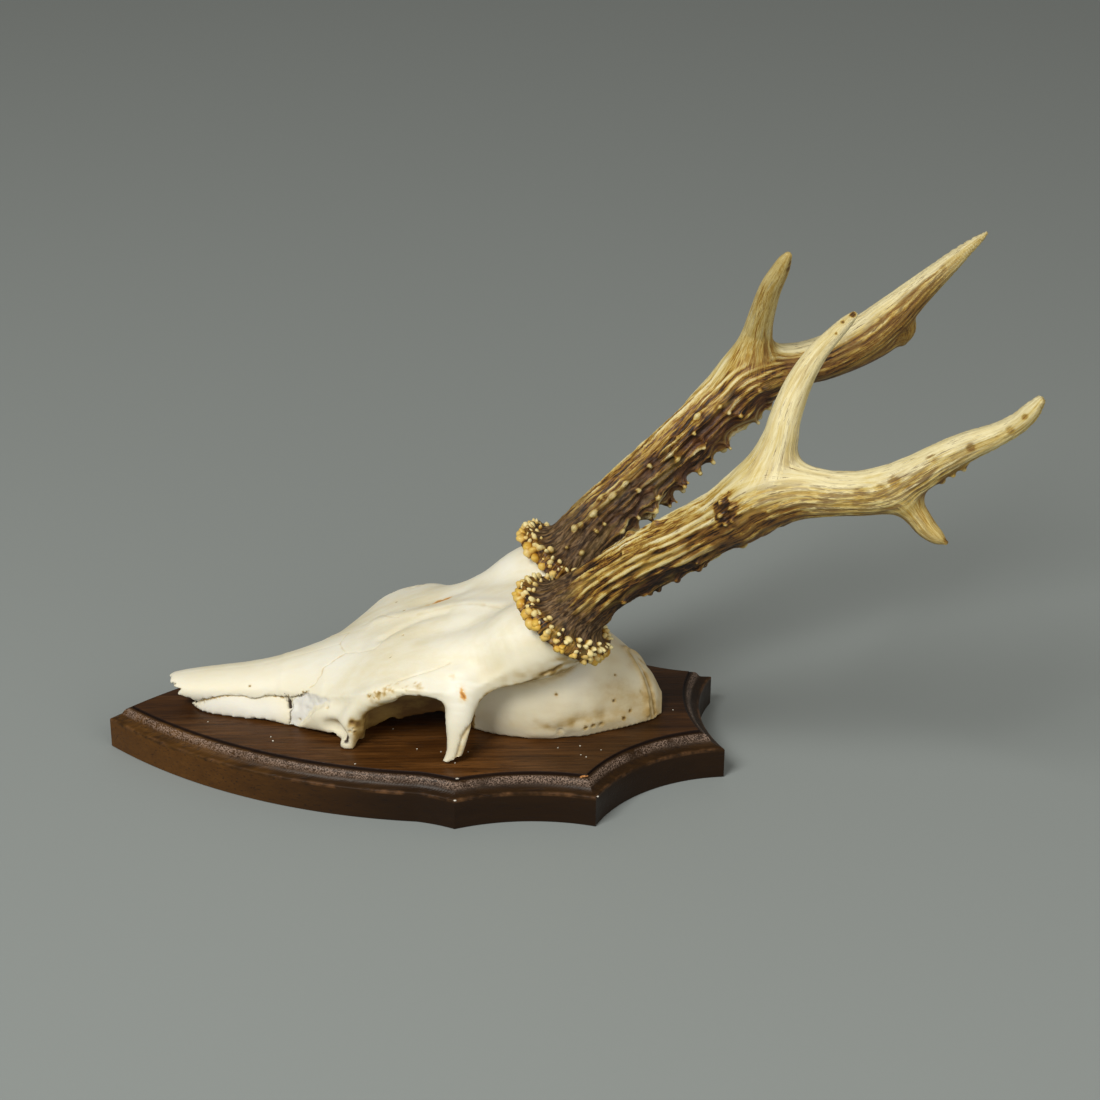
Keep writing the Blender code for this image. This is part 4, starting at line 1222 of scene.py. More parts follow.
def bone_shell(laid):
    """Vertices and triangles of the skull, finer along its marks and broken edges."""
    points, quads = skin_of(skull_field, (-104, -54, SKULL_FLOOR - 2), (104, 54, 84), SKULL_STEP)
    triangles = np.vstack([quads[:, :3], quads[:, [0, 2, 3]]])
    points = settle(skull_field, points, SKULL_STEP / 2)
    for limit in (1.1 * FINE_REACH, 0.3 * FINE_REACH, 0.0):
        count = len(points)
        points, triangles = halved(points, triangles, near_marks(points, laid, limit))
        points[count:] = settle(skull_field, points[count:], 0.5)
    return points, triangles


def pressed_marks(points, laid, rough, fine):
    """How far the marks lift each point, and the dirt, stains and painted shade in holes that they leave."""
    lift = np.zeros(len(points))
    wear_and_shade = {name: np.zeros(len(points)) for name in ("dirt_and_shade", "hole", "stain", "pale")}
    for path, width, depth, dirt_and_shade, hole, stain in laid:
        away = away_from(path, points, 3.5 * width) / (width * (1 + 0.25 * rough * (width < 2)))
        dent = np.exp(-away ** 2)
        lift -= depth * dent
        wear_and_shade["dirt_and_shade"] = np.maximum(wear_and_shade["dirt_and_shade"], dirt_and_shade * np.exp(-(away / 1.5) ** 2) * (1 + 0.5 * rough))
        wear_and_shade["hole"] = np.maximum(wear_and_shade["hole"], hole * ramp(dent, 0.25, 0.7))
        wear_and_shade["stain"] = np.maximum(wear_and_shade["stain"], stain * np.exp(-away ** 2) * (0.75 + 0.7 * fine))
    return lift, wear_and_shade


# %% [markdown]
# ## Skull: skin, wear and painted shade
# The porous band over the eye and the browned nape belong to whole regions, and so
# does the painted shade in hollows, under overhangs, inside the orbits and on faces
# that don't look up. So they follow where a point is and which way its skin faces.
# Kept as attributes, they need no unwrapping and no painted maps.

# %% Skull skin
def build_skull():
    laid = mark_paths()
    points, triangles = bone_shell(laid)
    normals = outward(skull_field, points)
    rough, fine = noise(points, 2.4, 8), noise(points, 0.9, 9)
    lift, wear_and_shade = pressed_marks(points, laid, rough, fine)
    x, y, z = points.T
    wide = np.abs(y)
    gap = ramp(-outline_field(x + 0.6 * rough, z, GAP_OUTLINE), 0.0, 0.8) * (wide > 12)
    lift -= gap * (0.35 + 0.35 * rough + 0.2 * fine)
    thin_plate = 0.75 * ramp(-x, 46.0, 60.0) * ramp(30.0 - z, 0.0, 6.0) * ramp(wide, 8.0, 11.0)
    wear_and_shade["pale"] = np.maximum(gap, thin_plate)
    both_bands = paths_on(skull_field, [POROUS_BAND, mirrored(POROUS_BAND)])
    away = np.minimum(*[away_from(path, points, 4.0) for path in both_bands])
    porous = ramp(4.0 - away, 0.0, 3.0) * ramp(fine, 0.15, 0.5)
    lift -= 0.35 * porous
    wear_and_shade["dirt_and_shade"] += 0.35 * porous + 0.16 * ramp(4.0 - away, 0.0, 3.5)
    # Painted shade: hollows found by sampling the field a little off the skin, faces that look down, the
    # insides of the orbits and the back of the pillar before each orbit.
    hollow_shade = np.clip(1 - skull_field(points + 4.0 * normals) / 3.6, 0, 1) * (normals[:, 2] > -0.9)
    under = ramp(-normals[:, 2], -0.2, 0.7) * ramp(z, 22.0, 27.0)
    socket = ramp(x, -23.0, -16.0) * (x < 26) * ramp(0.45 - normals[:, 2], 0.0, 0.4)
    socket = socket * ramp(38.0 - wide, 0.0, 6.0) * ramp(46.0 - z, 0.0, 6.0)
    orbit_front_shade = ramp(normals[:, 0], 0.1, 0.7) * ramp(-np.abs(x + 18), -8.0, -3.0)
    orbit_front_shade = orbit_front_shade * ramp(wide, 30.0, 36.0) * ramp(44.0 - z, 0.0, 8.0)
    case = ramp(x, 30.0, 60.0) * ramp(60.0 - z, 0.0, 6.0)
    back = ramp(x + 0.5 * z, 80.0, 112.0) * (0.8 + 0.4 * noise(points, 6.0, 15))
    nape = case * (0.09 + 0.07 * noise(points, 16.0, 12) + 0.24 * back)
    lift += case * 0.35 * noise(points, 7.0, 13)
    soft = noise(points, 9.0, 14)
    behind = ramp(x, 20.0, 30.0) * ramp(z, 20.0, 34.0)
    # Painted shade in hollows, stronger behind the eye, and under overhangs.
    wear_and_shade["dirt_and_shade"] += (0.34 + 0.7 * behind) * hollow_shade ** 1.5 + 0.3 * under * (1 + rough)
    # Painted shade in the orbits and on the back of the pillar before each; the browned nape is the bone's
    # own colour.
    wear_and_shade["dirt_and_shade"] += 0.72 * socket * (1 + 0.4 * soft) + nape + 0.45 * orbit_front_shade
    # Painted shade: a little tan on every face that doesn't look up, from the orbits back.
    wear_and_shade["dirt_and_shade"] += 0.17 * ramp(0.8 - normals[:, 2], 0.0, 0.6) * ramp(x, -30.0, -18.0)
    points = points + normals * (lift + 0.06 * noise(points, 3.0, 10))[:, None]
    mesh = mesh_of("skull_bone", points, triangles, world_from_skull())
    for name, values in wear_and_shade.items():
        give(mesh, name, np.clip(values, 0, 1))
    add_piece("skull_bone", mesh, BONE, "bone", "skull")


build_skull()

# %% [markdown]
# ## Antler: stations
# A roebuck's antler is a beam with a front point and, higher up, a rear point. On
# the far one that rear point is only a short spur above a web of bone. Curves with a
# bevel would be quick, but their branches only pass through each other, so each
# branch is a row of stations that the field can melt together: (x, distance from
# the midline, z, radius).

# %% Antler stations
LEFT_BEAM = [(59.4, 25, 70, 16.5), (64.5, 26, 76, 14), (70.5, 28, 82.5, 12.2),
             (79, 31.5, 91.5, 11.2), (90.5, 37.5, 102.5, 10.9), (107, 45, 116.5, 11.2),
             (120, 51, 127.5, 11.4), (133, 57, 139, 12.2), (146.5, 62, 145, 10.2),
             (160.5, 67, 147, 8.3), (174.3, 71, 150, 8), (186, 75, 157.5, 7.4),
             (196.4, 78, 166.3, 6.1), (206, 81, 173.3, 5.1), (214.5, 83, 178.3, 4.2),
             (221.5, 85, 184, 3.7), (225.6, 86.2, 189.4, 3.2), (227.6, 86.8, 192.6, 2.2)]
LEFT_FRONT_TINE = [(128, 54.5, 134, 8), (135, 56.5, 147, 9.4), (140, 55.3, 162.5, 6.9),
                   (141.7, 53, 170, 5.9), (144.7, 49, 178.2, 5.3), (148.8, 44, 185.2, 4.6),
                   (153.9, 39.3, 191.5, 3.8), (159.8, 35.3, 197, 3), (164.4, 33.1, 201.2, 2.3),
                   (166.7, 32.3, 203.3, 1.5)]
LEFT_REAR_TINE = [(176, 72, 151.5, 5.2), (183.5, 74, 149.5, 6.2), (189, 76, 143.5, 4.5),
                  (193, 78, 139, 3.8), (197, 80, 136.2, 2.7), (199.8, 81, 134.8, 1)]
RIGHT_BEAM = [(59.4, 25, 70, 16.5), (64, 26.5, 76, 14), (69, 28.5, 82, 12.2),
              (78, 33, 90.5, 11.2), (90.4, 39, 100.5, 11.2), (103.7, 45, 111.7, 11.3),
              (115.2, 50, 122, 11.3), (125.5, 54, 131.5, 11.7), (136, 57, 140.5, 12),
              (147, 59.5, 144.5, 10.2), (157.7, 61.5, 146.5, 8.8), (170.2, 66, 149.6, 8.5),
              (184, 71, 156.2, 8.6), (195, 75, 164.3, 7.6), (203.4, 78, 171.6, 6),
              (212.6, 81, 179.4, 4.6), (221, 83.5, 186.6, 3.2), (227.8, 85.5, 192, 1.9),
              (231.3, 86.5, 194.8, 0.8)]
RIGHT_FRONT_TINE = [(130, 56, 133, 8), (134.5, 56.5, 146, 9), (137.2, 54.2, 161, 6.4),
                    (137.9, 51, 168, 5.5), (139.2, 46, 177.3, 4.9), (141.1, 41, 186.8, 4.4),
                    (143.8, 36, 195.4, 3.6), (145.4, 33.2, 200.6, 2.7), (146.4, 31.8, 203.2, 1.7)]
RIGHT_SPUR = [(193, 75, 162, 5), (199, 76.5, 159, 4.6), (200.5, 77, 155, 3.4),
              (199.4, 78, 151, 1.4)]
RIGHT_WEB = [(165, 65, 145.5, 6), (178, 70, 147.6, 6), (189, 74, 150.3, 5.2),
             (196.5, 77, 152.3, 3.4)]

# Knobs: (share along the beam, degrees, radius of the tip, height, tone of the tip)
LEFT_KNOBS = [(0.15, 70, 1.8, 3, 0.9), (0.167, 152, 1, 1.6, 0.9), (0.20, 25, 2, 3.2, 0.9),
              (0.206, 124, 1.5, 2.4, 0.22), (0.219, -118, 1, 1.4, 0.9), (0.222, 112, 1.6, 2.6, 0.22),
              (0.226, -68, 2, 2.6, 0.45), (0.24, 80, 2.2, 3.4, 0.22), (0.252, -76, 1, 1.4, 0.9),
              (0.269, 124, 1.5, 2.6, 0.22), (0.28, 40, 2, 3, 0.9), (0.29, -88, 1.1, 1.6, 0.45),
              (0.31, 88, 2, 3, 0.22), (0.319, 125, 1.4, 2.2, 0.22), (0.335, 152, 0.9, 1.3, 0.9),
              (0.33, 15, 1.9, 2.6, 0.9), (0.37, 62, 2.1, 3, 0.9), (0.40, 95, 1.8, 2.6, 0.9),
              (0.43, 30, 1.9, 2.6, 0.9), (0.47, 75, 1.9, 2.4, 0.9), (0.444, -127, 1.1, 2.1, 0.95),
              (0.436, -147, 1.1, 2.2, 0.95), (0.437, -164, 1.1, 2.2, 0.95), (0.452, -166, 1.1, 2, 0.95),
              (0.458, -146, 1, 2, 0.95), (0.816, 112, 1.1, 2.2, 0.9), (0.832, 104, 1.1, 2.4, 0.9),
              (0.79, 100, 1.3, 1.8, 0.9)]
# The right antler's are all rubbed pale
POLISHED = 0.9
RIGHT_KNOBS = [(*knob, POLISHED) for knob in [
               (0.054, -3, 1.3, 2), (0.046, -27, 1.1, 1.8), (0.069, -42, 1.5, 3), (0.08, -38, 1.2, 2.4),
               (0.111, -34, 1.3, 2.6), (0.111, -8, 1.4, 2.8), (0.092, -9, 1.3, 2.2), (0.123, 32, 1.2, 2.2),
               (0.149, 70, 1.5, 5.4), (0.163, 34, 1.4, 3), (0.181, 72, 1.2, 6.2), (0.196, 44, 1.2, 4.1),
               (0.212, 25, 1.2, 3), (0.196, -11, 1.5, 3), (0.186, -40, 1.2, 2.2), (0.155, -35, 1.1, 1.8),
               (0.139, -51, 1, 1.7), (0.234, 70, 1.3, 5.9), (0.22, 70, 1.2, 5.1), (0.242, -31, 1.6, 2.8),
               (0.279, -21, 1.3, 2.8), (0.285, -6, 1.3, 2.6), (0.262, 47, 1.2, 4.6), (0.27, 52, 1.1, 3.8),
               (0.339, -16, 1.1, 2.6), (0.366, -38, 1.1, 2.2), (0.333, 17, 1, 2.4), (0.344, 12, 0.9, 1.8),
               (0.311, -38, 0.8, 1.2), (0.297, 60, 1.4, 4.1), (0.371, 71, 1.3, 5.1), (0.414, 2, 1, 2.2),
               (0.428, 21, 1.1, 2.6), (0.411, -18, 0.9, 1.8), (0.44, 71, 1.1, 4.6), (0.486, 3, 1, 2.2),
               (0.54, 2, 0.9, 2), (0.50, 6, 0.8, 1.4), (0.109, 54, 1.3, 4.1), (0.19, 95, 1.7, 4.6),
               (0.26, 84, 1.7, 4.9), (0.30, 100, 1.8, 4.6), (0.33, 70, 1.5, 4.6), (0.36, 92, 1.8, 4.6),
               (0.42, 100, 1.7, 4.1), (0.45, 90, 1.7, 4.1), (0.49, 85, 1.5, 3.5), (0.57, 95, 1.4, 2.7)]]
# Dark patches: (branch, share, degrees, radius, tone); branch 0 is the beam
LEFT_SPOTS = [(0, 0.447, -151, 6.5, 0.06), (0, 0.493, 178, 4.4, 0.30), (0, 0.736, -145, 2.6, 0.30),
              (0, 0.705, -158, 3, 0.48), (0, 0.871, -163, 1.8, 0.34), (0, 0.935, -168, 1.6, 0.34),
              (0, 0.967, -149, 1.3, 0.45), (0, 0.808, -135, 2, 0.52), (0, 0.818, 108, 3.2, 0.12),
              (0, 1, 99, 1, 0.10), (0, 0.668, -158, 3.2, 0.55), (1, 1, -146, 1.3, 0.15),
              (1, 0.94, -136, 0.6, 0.15), (1, 0.89, -163, 0.7, 0.40), (2, 1, -128, 1.3, 0.35)]
RIGHT_SPOTS = [(1, 0.935, 62, 1.5, 0.12), (1, 0.97, 60, 1, 0.3), (0, 0.747, -31, 1.4, 0.45),
               (0, 0.90, -20, 1.6, 0.6)]

print("knobs:", len(LEFT_KNOBS), "left,", len(RIGHT_KNOBS), "right")

# %% [markdown]
# ## Antler: branches and fields
# A `Branch` measures points against a tapering curve: how far off its skin they
# are, and where along and around it. Angles around a branch start on the side
# that faces the other antler; 90 degrees is the rear.

# %% Antler fields
class Branch:
    """A tapering curve with its frames."""

    def __init__(self, stations):
        path = smooth_path(stations, 1.0)
        self.centre, self.radius = path[:, :3], path[:, 3]
        ahead = np.gradient(self.centre, axis=0)
        self.along = ahead / np.linalg.norm(ahead, axis=1, keepdims=True)
        inward = np.array([0.0, -1.0, 0.0]) - self.along * -self.along[:, 1:2]
        self.inward = inward / np.linalg.norm(inward, axis=1, keepdims=True)
        self.rearward = np.cross(self.along, self.inward)
        gaps = np.linalg.norm(np.diff(self.centre, axis=0), axis=1)
        self.length = np.concatenate([[0.0], np.cumsum(gaps)])

    def distance(self, p):
        """Distance to the skin, exact only near it."""
        reach = self.radius.max() + 10.0
        near = ((p > self.centre.min(0) - reach) & (p < self.centre.max(0) + reach)).all(1)
        value = np.full(len(p), 1e3)
        value[near] = self.measure(p[near])[0]
        return value

    def measure(self, p):
        """Distance to the skin, and (inward, rearward, along) coordinates, of each point."""
        distance, flow = np.empty(len(p)), np.empty((len(p), 3))
        square = (self.centre ** 2).sum(1)
        for i in range(0, len(p), 20000):
            part = p[i:i + 20000]
            near = (square - 2 * part @ self.centre.T).argmin(1)
            offset = part - self.centre[near]
            slide = (offset * self.along[near]).sum(1)
            s = np.clip(self.length[near] + slide, 0, self.length[-1])
            offset = offset - self.along[near] * (s - self.length[near])[:, None]
            distance[i:i + 20000] = np.linalg.norm(offset, axis=1) - np.interp(s, self.length, self.radius)
            flow[i:i + 20000] = np.column_stack([(offset * self.inward[near]).sum(1),
                                                 (offset * self.rearward[near]).sum(1), s])
        return distance, flow

    def spot(self, share, degrees, lift=0.0):
        """A point on the skin, or lift above it, and the direction outward."""
        i = round(share * (len(self.centre) - 1))
        angle = math.radians(degrees)
        out = math.cos(angle) * self.inward[i] + math.sin(angle) * self.rearward[i]
        return self.centre[i] + out * (self.radius[i] + lift), out


print("left beam:", round(Branch(LEFT_BEAM).length[-1]), "mm along its curve")

# %% [markdown]
# ## Antler: body
# Knobs are short tapering pegs, and the fillet between a knob and the beam makes the
# small mound that each one sits on. The burr is a disc with an uneven rim. All melt
# into the branches, and the foot is cut flat where it meets the skull.

# %% Antler body
ANTLER_STEP = 0.66
ROLL_RADIUS = 11.0


def peg_field(p, foot, tip, radius):
    """A short peg, thicker at the foot; exact only near it."""
    value = np.full(len(p), 1e3)
    near = np.flatnonzero((np.abs(p - tip) < 10.0).all(1))
    axis = tip - foot
    share = np.clip((p[near] - foot) @ axis / (axis @ axis), 0, 1)
    away = np.linalg.norm(p[near] - foot - share[:, None] * axis, axis=1)
    value[near] = (away - radius * (2.0 - 1.15 * share)) * (1 + 0.12 * noise(p[near], 1.5, 2))
    return value


def burr_place(p):
    """Position in the burr's own frame: two ways across it and one up the antler."""
    side = np.cross(BURR_NORMAL, [0.0, 1.0, 0.0])
    side /= np.linalg.norm(side)
    q = p - BURR_CENTRE
    return np.column_stack([q @ side, q @ np.cross(side, BURR_NORMAL) / BURR_OVAL, q @ BURR_NORMAL])


def burr_field(p):
    """The disc at an antler's foot, with an uneven rim."""
    value = np.full(len(p), 1e3)
    near = (np.abs(p - BURR_CENTRE) < 36.0).all(1)
    q = burr_place(p[near])
    rim = BURR_RADIUS * 0.93 + 0.9 * noise(q, 5.0, 3)
    disc = capped(np.hypot(q[:, 0], q[:, 1]) - rim, np.abs(q[:, 2] + 0.6) - BURR_THICKNESS / 2 + 1.2)
    value[near] = disc - 0.6 + 0.35 * noise(q, 2.2, 4)
    return value


def antler_field(p, branches, fillets, pegs):
    value = join(branches[0].distance(p), burr_field(p), 6.0)
    for branch, fillet in zip(branches[1:], fillets):
        value = join(value, branch.distance(p), fillet)
    for foot, tip, radius in pegs:
        value = join(value, peg_field(p, foot, tip, radius), 2.4)
    below = -((p - BURR_CENTRE) @ BURR_NORMAL) - BURR_THICKNESS / 2
    return np.maximum(value, below)


# %% [markdown]
# ## Antler: furrows
# A buck rubs the velvet off, and what is left is a furrowed bone, dark in the
# furrows and polished cream on every crest. A bump map alone would leave a smooth
# outline, so the furrows are real relief. `ridges` draws them in each branch's own
# coordinates, so they follow its bends and do not swirl where two branches meet.

# %% Furrows
def off_axis(flow):
    """Distance from a branch's centre line."""
    return np.maximum(np.hypot(*flow[:, :2].T), 1e-6)


def facing(flow, degrees):
    """1 where a branch's skin looks that way, -1 on the opposite side."""
    angle = math.radians(degrees)
    return (flow[:, 0] * math.cos(angle) + flow[:, 1] * math.sin(angle)) / off_axis(flow)


def rolled(flow):
    """The skin of a branch as if it were a cylinder of one radius."""
    return np.column_stack([ROLL_RADIUS * flow[:, :2] / off_axis(flow)[:, None], flow[:, 2]])


def ridges(flow, count, seed):
    """0 in a furrow and 1 on a crest, for ridges that wander, split and end along a branch."""
    skin = rolled(flow)
    drift = 1.5 * noise(skin, (10, 10, 40), seed) + 0.5 * noise(skin, (4, 4, 12), seed + 1)
    wave = np.cos(count * np.arctan2(flow[:, 1], flow[:, 0]) + 2.4 * drift)
    split = noise(skin, (2.6, 2.6, 24), seed + 2) + 0.6 * noise(skin, (1.3, 1.3, 9), seed + 3)
    beads = noise(skin, (1.6, 1.6, 4.5), seed + 40)
    return np.clip(0.46 + 0.34 * wave + 0.48 * split + 0.22 * beads, 0, 1)


# %% [markdown]
# ## Antler: skin
# The beam is rough like bark for the first two centimetres above the burr, darker
# on the side that faces the other antler, and paler towards the top. The tines are
# ivory, with a stained root. Height and tone come from the same crests, so that the
# colour always sits on the relief.

# %% Skin of a beam and of a tine
def beam_skin(flow, seed):
    """Height, tone, bark, red and mottle of points on a beam."""
    skin, s = rolled(flow), flow[:, 2]
    crest = ridges(flow, 22, seed)
    bark = 1 - ramp(s + 5 * noise(skin, (5, 5, 9), seed + 4), 14, 30)
    late = ramp(s, 72, 128)
    dark = ramp(facing(flow, 35) + 0.25 * noise(skin, (4, 4, 25), seed + 15), -0.10, 0.35)
    dark *= 1 - ramp(s + 14 * noise(skin, (4, 4, 30), seed + 5), 92, 150)
    patch = ramp(noise(skin, (6, 6, 20), seed + 6), 0.0, 0.6)
    cups = np.clip(noise(skin, (5, 5, 9), seed + 7) + 0.25, 0, 1) * dark * (1 - 0.7 * bark)
    deep = 0.14 + 1.15 * ramp(s, 6, 24) * (1 - 0.82 * ramp(s, 66, 124)) * (1 + 0.15 * dark)
    height = deep * 1.4 * (crest - 0.55) - 2.2 * cups
    height += 0.5 * dark * noise(skin, (2.2, 2.2, 5), seed + 21)
    height += 0.32 * bark * noise(skin, (1.6, 1.6, 2.6), seed + 8)
    height += 0.22 * noise(skin, (2.4, 2.4, 4.5), seed + 9) * (1 - late)
    light = (1 - late) * (0.06 + 0.76 * crest ** 2.6) + late * (0.64 + 0.28 * crest)
    light -= 0.22 * patch * (1 - ramp(s, 118, 150)) * ramp(s, 30, 70) * (1 - 0.5 * crest)
    low = ramp(facing(flow, 95), 0.0, 0.75)
    late_low = ramp(facing(flow, 50) + 0.3 * noise(skin, (3, 3, 22), seed + 17), -0.25, 0.55)
    light -= 0.26 * low * (1 - ramp(s, 100, 150))
    light -= 0.36 * late_low * ramp(s, 105, 140) * (1 - ramp(s, 178, 204)) * (1.15 - 0.5 * crest)
    light -= 0.22 * ramp(s, 95, 115) * (1 - ramp(s, 138, 165)) * ramp(facing(flow, 10), 0.0, 0.8)
    light += 0.36 * ramp(facing(flow, -95), 0.35, 0.95) * ramp(s, 30, 60)
    mottle = ramp(s, 60, 90) * (1 - ramp(s, 176, 204)) * ramp(facing(flow, 150), -0.1, 0.8)
    mottle += ramp(s, 105, 140) * (1 - ramp(s, 196, 216)) * ramp(facing(flow, 25), 0.0, 0.8)
    shade = 0.05 + 0.92 * crest ** 2.8 + 0.10 * noise(skin, (4, 4, 12), seed + 10)
    tone = light + (shade - light) * dark
    tone += (0.13 + 0.07 * noise(skin, 2.0, seed + 11) + 0.22 * crest ** 2.5 - tone) * bark
    return height, tone, np.maximum(bark, 0.55 * dark * (1 - ramp(s, 35, 80))), cups, mottle


def tine_skin(flow, level, seed):
    """The same five for a tine whose tone is about level."""
    crest = ridges(flow, 11, seed)
    skin = rolled(flow)
    patch = ramp(noise(skin, (7, 7, 18), seed + 6), 0.15, 0.7)
    tone = level + 0.12 * crest - 0.14 * patch - 0.10 * (1 - crest) * ramp(facing(flow, 60), 0.0, 0.8)
    root = 1 - ramp(flow[:, 2] + 8 * noise(skin, (3, 3, 14), seed + 7), 14, 40)
    tone -= 0.20 * root * ramp(facing(flow, 30), -0.3, 0.6) * (1.2 - 0.5 * crest)
    mottle = root * ramp(facing(flow, 90), -0.6, 0.4)
    return 0.16 * (crest - 0.5), tone, np.zeros(len(flow)), np.zeros(len(flow)), mottle


# %% [markdown]
# ## Antler: shell
# The shell is one closed mesh of the whole antler. Near a fork each point takes its
# skin from both branches, weighted by how near they are, so that no seam shows.

# %% Antler shell and its blended skin
def antler_shell(field, branches, pegs):
    """Vertices and triangles of the whole antler, finer on the tips of its knobs."""
    everything = np.vstack([b.centre for b in branches])
    low, high = everything.min(0) - 16, everything.max(0) + 16
    low = np.minimum(low, BURR_CENTRE - BURR_RADIUS - 4)
    points, quads = skin_of(field, low, high, ANTLER_STEP)
    triangles = np.vstack([quads[:, :3], quads[:, [0, 2, 3]]])
    points = settle(field, points, ANTLER_STEP / 2)
    tips = np.full(len(points), 1e3)
    for foot, tip, radius in pegs:
        tips = np.minimum(tips, np.linalg.norm(points - tip, axis=1) - radius)
    count = len(points)
    points, triangles = halved(points, triangles, tips < 1.2)
    points[count:] = settle(field, points[count:], 0.4)
    return points, triangles


def blended_skin(measures, weight, tones, seed):
    """Height, tone, bark, red and mottle, passing softly from branch to branch."""
    skins = [beam_skin(measures[0][1], seed)]
    for (_, flow), tone in zip(measures[1:], tones):
        skins.append(tine_skin(flow, tone, seed + round(99 * tone)))
    return [sum(weight[:, i] * skin[k] for i, skin in enumerate(skins)) for k in range(5)]


# %% [markdown]
# ## Antler: the whole
# The burr's rim is amber, a knob is polished at its tip and dark round its foot, and
# a few patches are stained. Each changes the height and tone of the points near it,
# and the results go with the mesh as attributes.

# %% Whole antler
def build_antler(name, side, stations, tines, knobs, spots, nodes, seed):
    """Tines are (fillet, tone) of every branch after the beam."""
    branches = [Branch(rows) for rows in stations]
    fillets, tones = zip(*tines)
    pegs = [(branches[0].spot(share, turn, -0.8)[0], branches[0].spot(share, turn, tall - radius)[0], radius)
            for share, turn, radius, tall, _ in knobs]

    def field(p):
        return antler_field(p, branches, fillets, pegs)

    points, triangles = antler_shell(field, branches, pegs)
    normals = outward(field, points)
    measures = [b.measure(points) for b in branches]
    gap = np.stack([m[0] for m in measures], 1)
    weight = np.exp(-(gap - gap.min(1, keepdims=True)) / 1.6)
    weight /= weight.sum(1, keepdims=True)
    height, tone, bark, red, mottle = blended_skin(measures, weight, tones, seed)

    q = burr_place(points)
    rim = ramp(np.hypot(q[:, 0], q[:, 1]), BURR_RADIUS - 5.5, BURR_RADIUS - 2.5) * ramp(8.0 - q[:, 2], 0, 2)
    under = ramp(-q[:, 2], -1.5, 1.0) * ramp(8.0 - np.abs(q[:, 2]), 0, 2)
    amber = np.maximum(rim, under)
    height = height * (1 - rim) + 0.5 * rim * noise(q, 2.0, seed + 12)
    tone += (0.24 + 0.2 * noise(q, 2.5, seed + 13) - tone) * amber
    bark *= 1 - amber

    top, level_of_top = np.zeros(len(points)), np.zeros(len(points))
    for (foot, tip, radius), (*_, level) in zip(pegs, knobs):
        away = np.linalg.norm(points - tip, axis=1)
        here = ramp(radius * 1.45 - away, 0.0, 0.8 * radius)
        level_of_top = np.where(here > top, level, level_of_top)
        top = np.maximum(top, here)
        tone -= 0.14 * ramp(radius * 3.2 - away, 0, radius) * ramp(tone, 0.2, 0.6)
    height *= 1 - 0.85 * top
    for branch, share, turn, radius, level in spots:
        place = branches[branch].spot(share, turn)[0]
        away = np.linalg.norm(points - place, axis=1) / radius
        ragged = noise(measures[branch][1], (1.3, 1.3, 4.0), seed + 14) + 0.6 * noise(points, 0.9, seed + 16)
        inside = ramp(1.15 - away - 0.34 * ragged, 0.0, 0.6)
        large = 1.0 if radius > 4.0 or radius < 1.4 else 0.4
        tone += (level - tone) * inside * large
        mottle = np.maximum(mottle, ramp(1.5 - away, 0.0, 0.9) * (large < 1))
        height -= 0.15 * inside
    tone += (level_of_top - tone) * top
    points = points + normals * height[:, None]
    mesh = mesh_of(name, points, triangles, world_from_skull(side))
    bare = 1 - top
    for title, values in (("tone", tone), ("bark", bark * bare), ("red", red * 1.6 * bare),
                          ("mottle", mottle * bare)):
        give(mesh, title, np.clip(values, 0, 1))
    give(mesh, "tine", 1 - weight[:, 0])
    give(mesh, "beam_flow", rolled(measures[0][1]))
    nearest = gap[:, 1:].argmin(1)
    flows = np.stack([rolled(m[1]) for m in measures[1:]], 1)
    give(mesh, "tine_flow", flows[np.arange(len(points)), nearest])
    add_piece(name, mesh, ANTLER, "antler", *nodes)


# %% [markdown]
# ## Antler: material
# The shader adds what is finer than the mesh: hair-thin brown dashes along the
# grain of the ivory, dark specks in the bark, and a low gloss from handling.

# %% Antler material
def grain(tree, flow, width, length, detail=3.0):
    """Noise whose grains are width across a branch and length along it, in millimetres."""
    return noise_node(tree, stretched(tree, flow, (1.0, 1.0, width / length)), 1.0 / width, detail, 0.6)


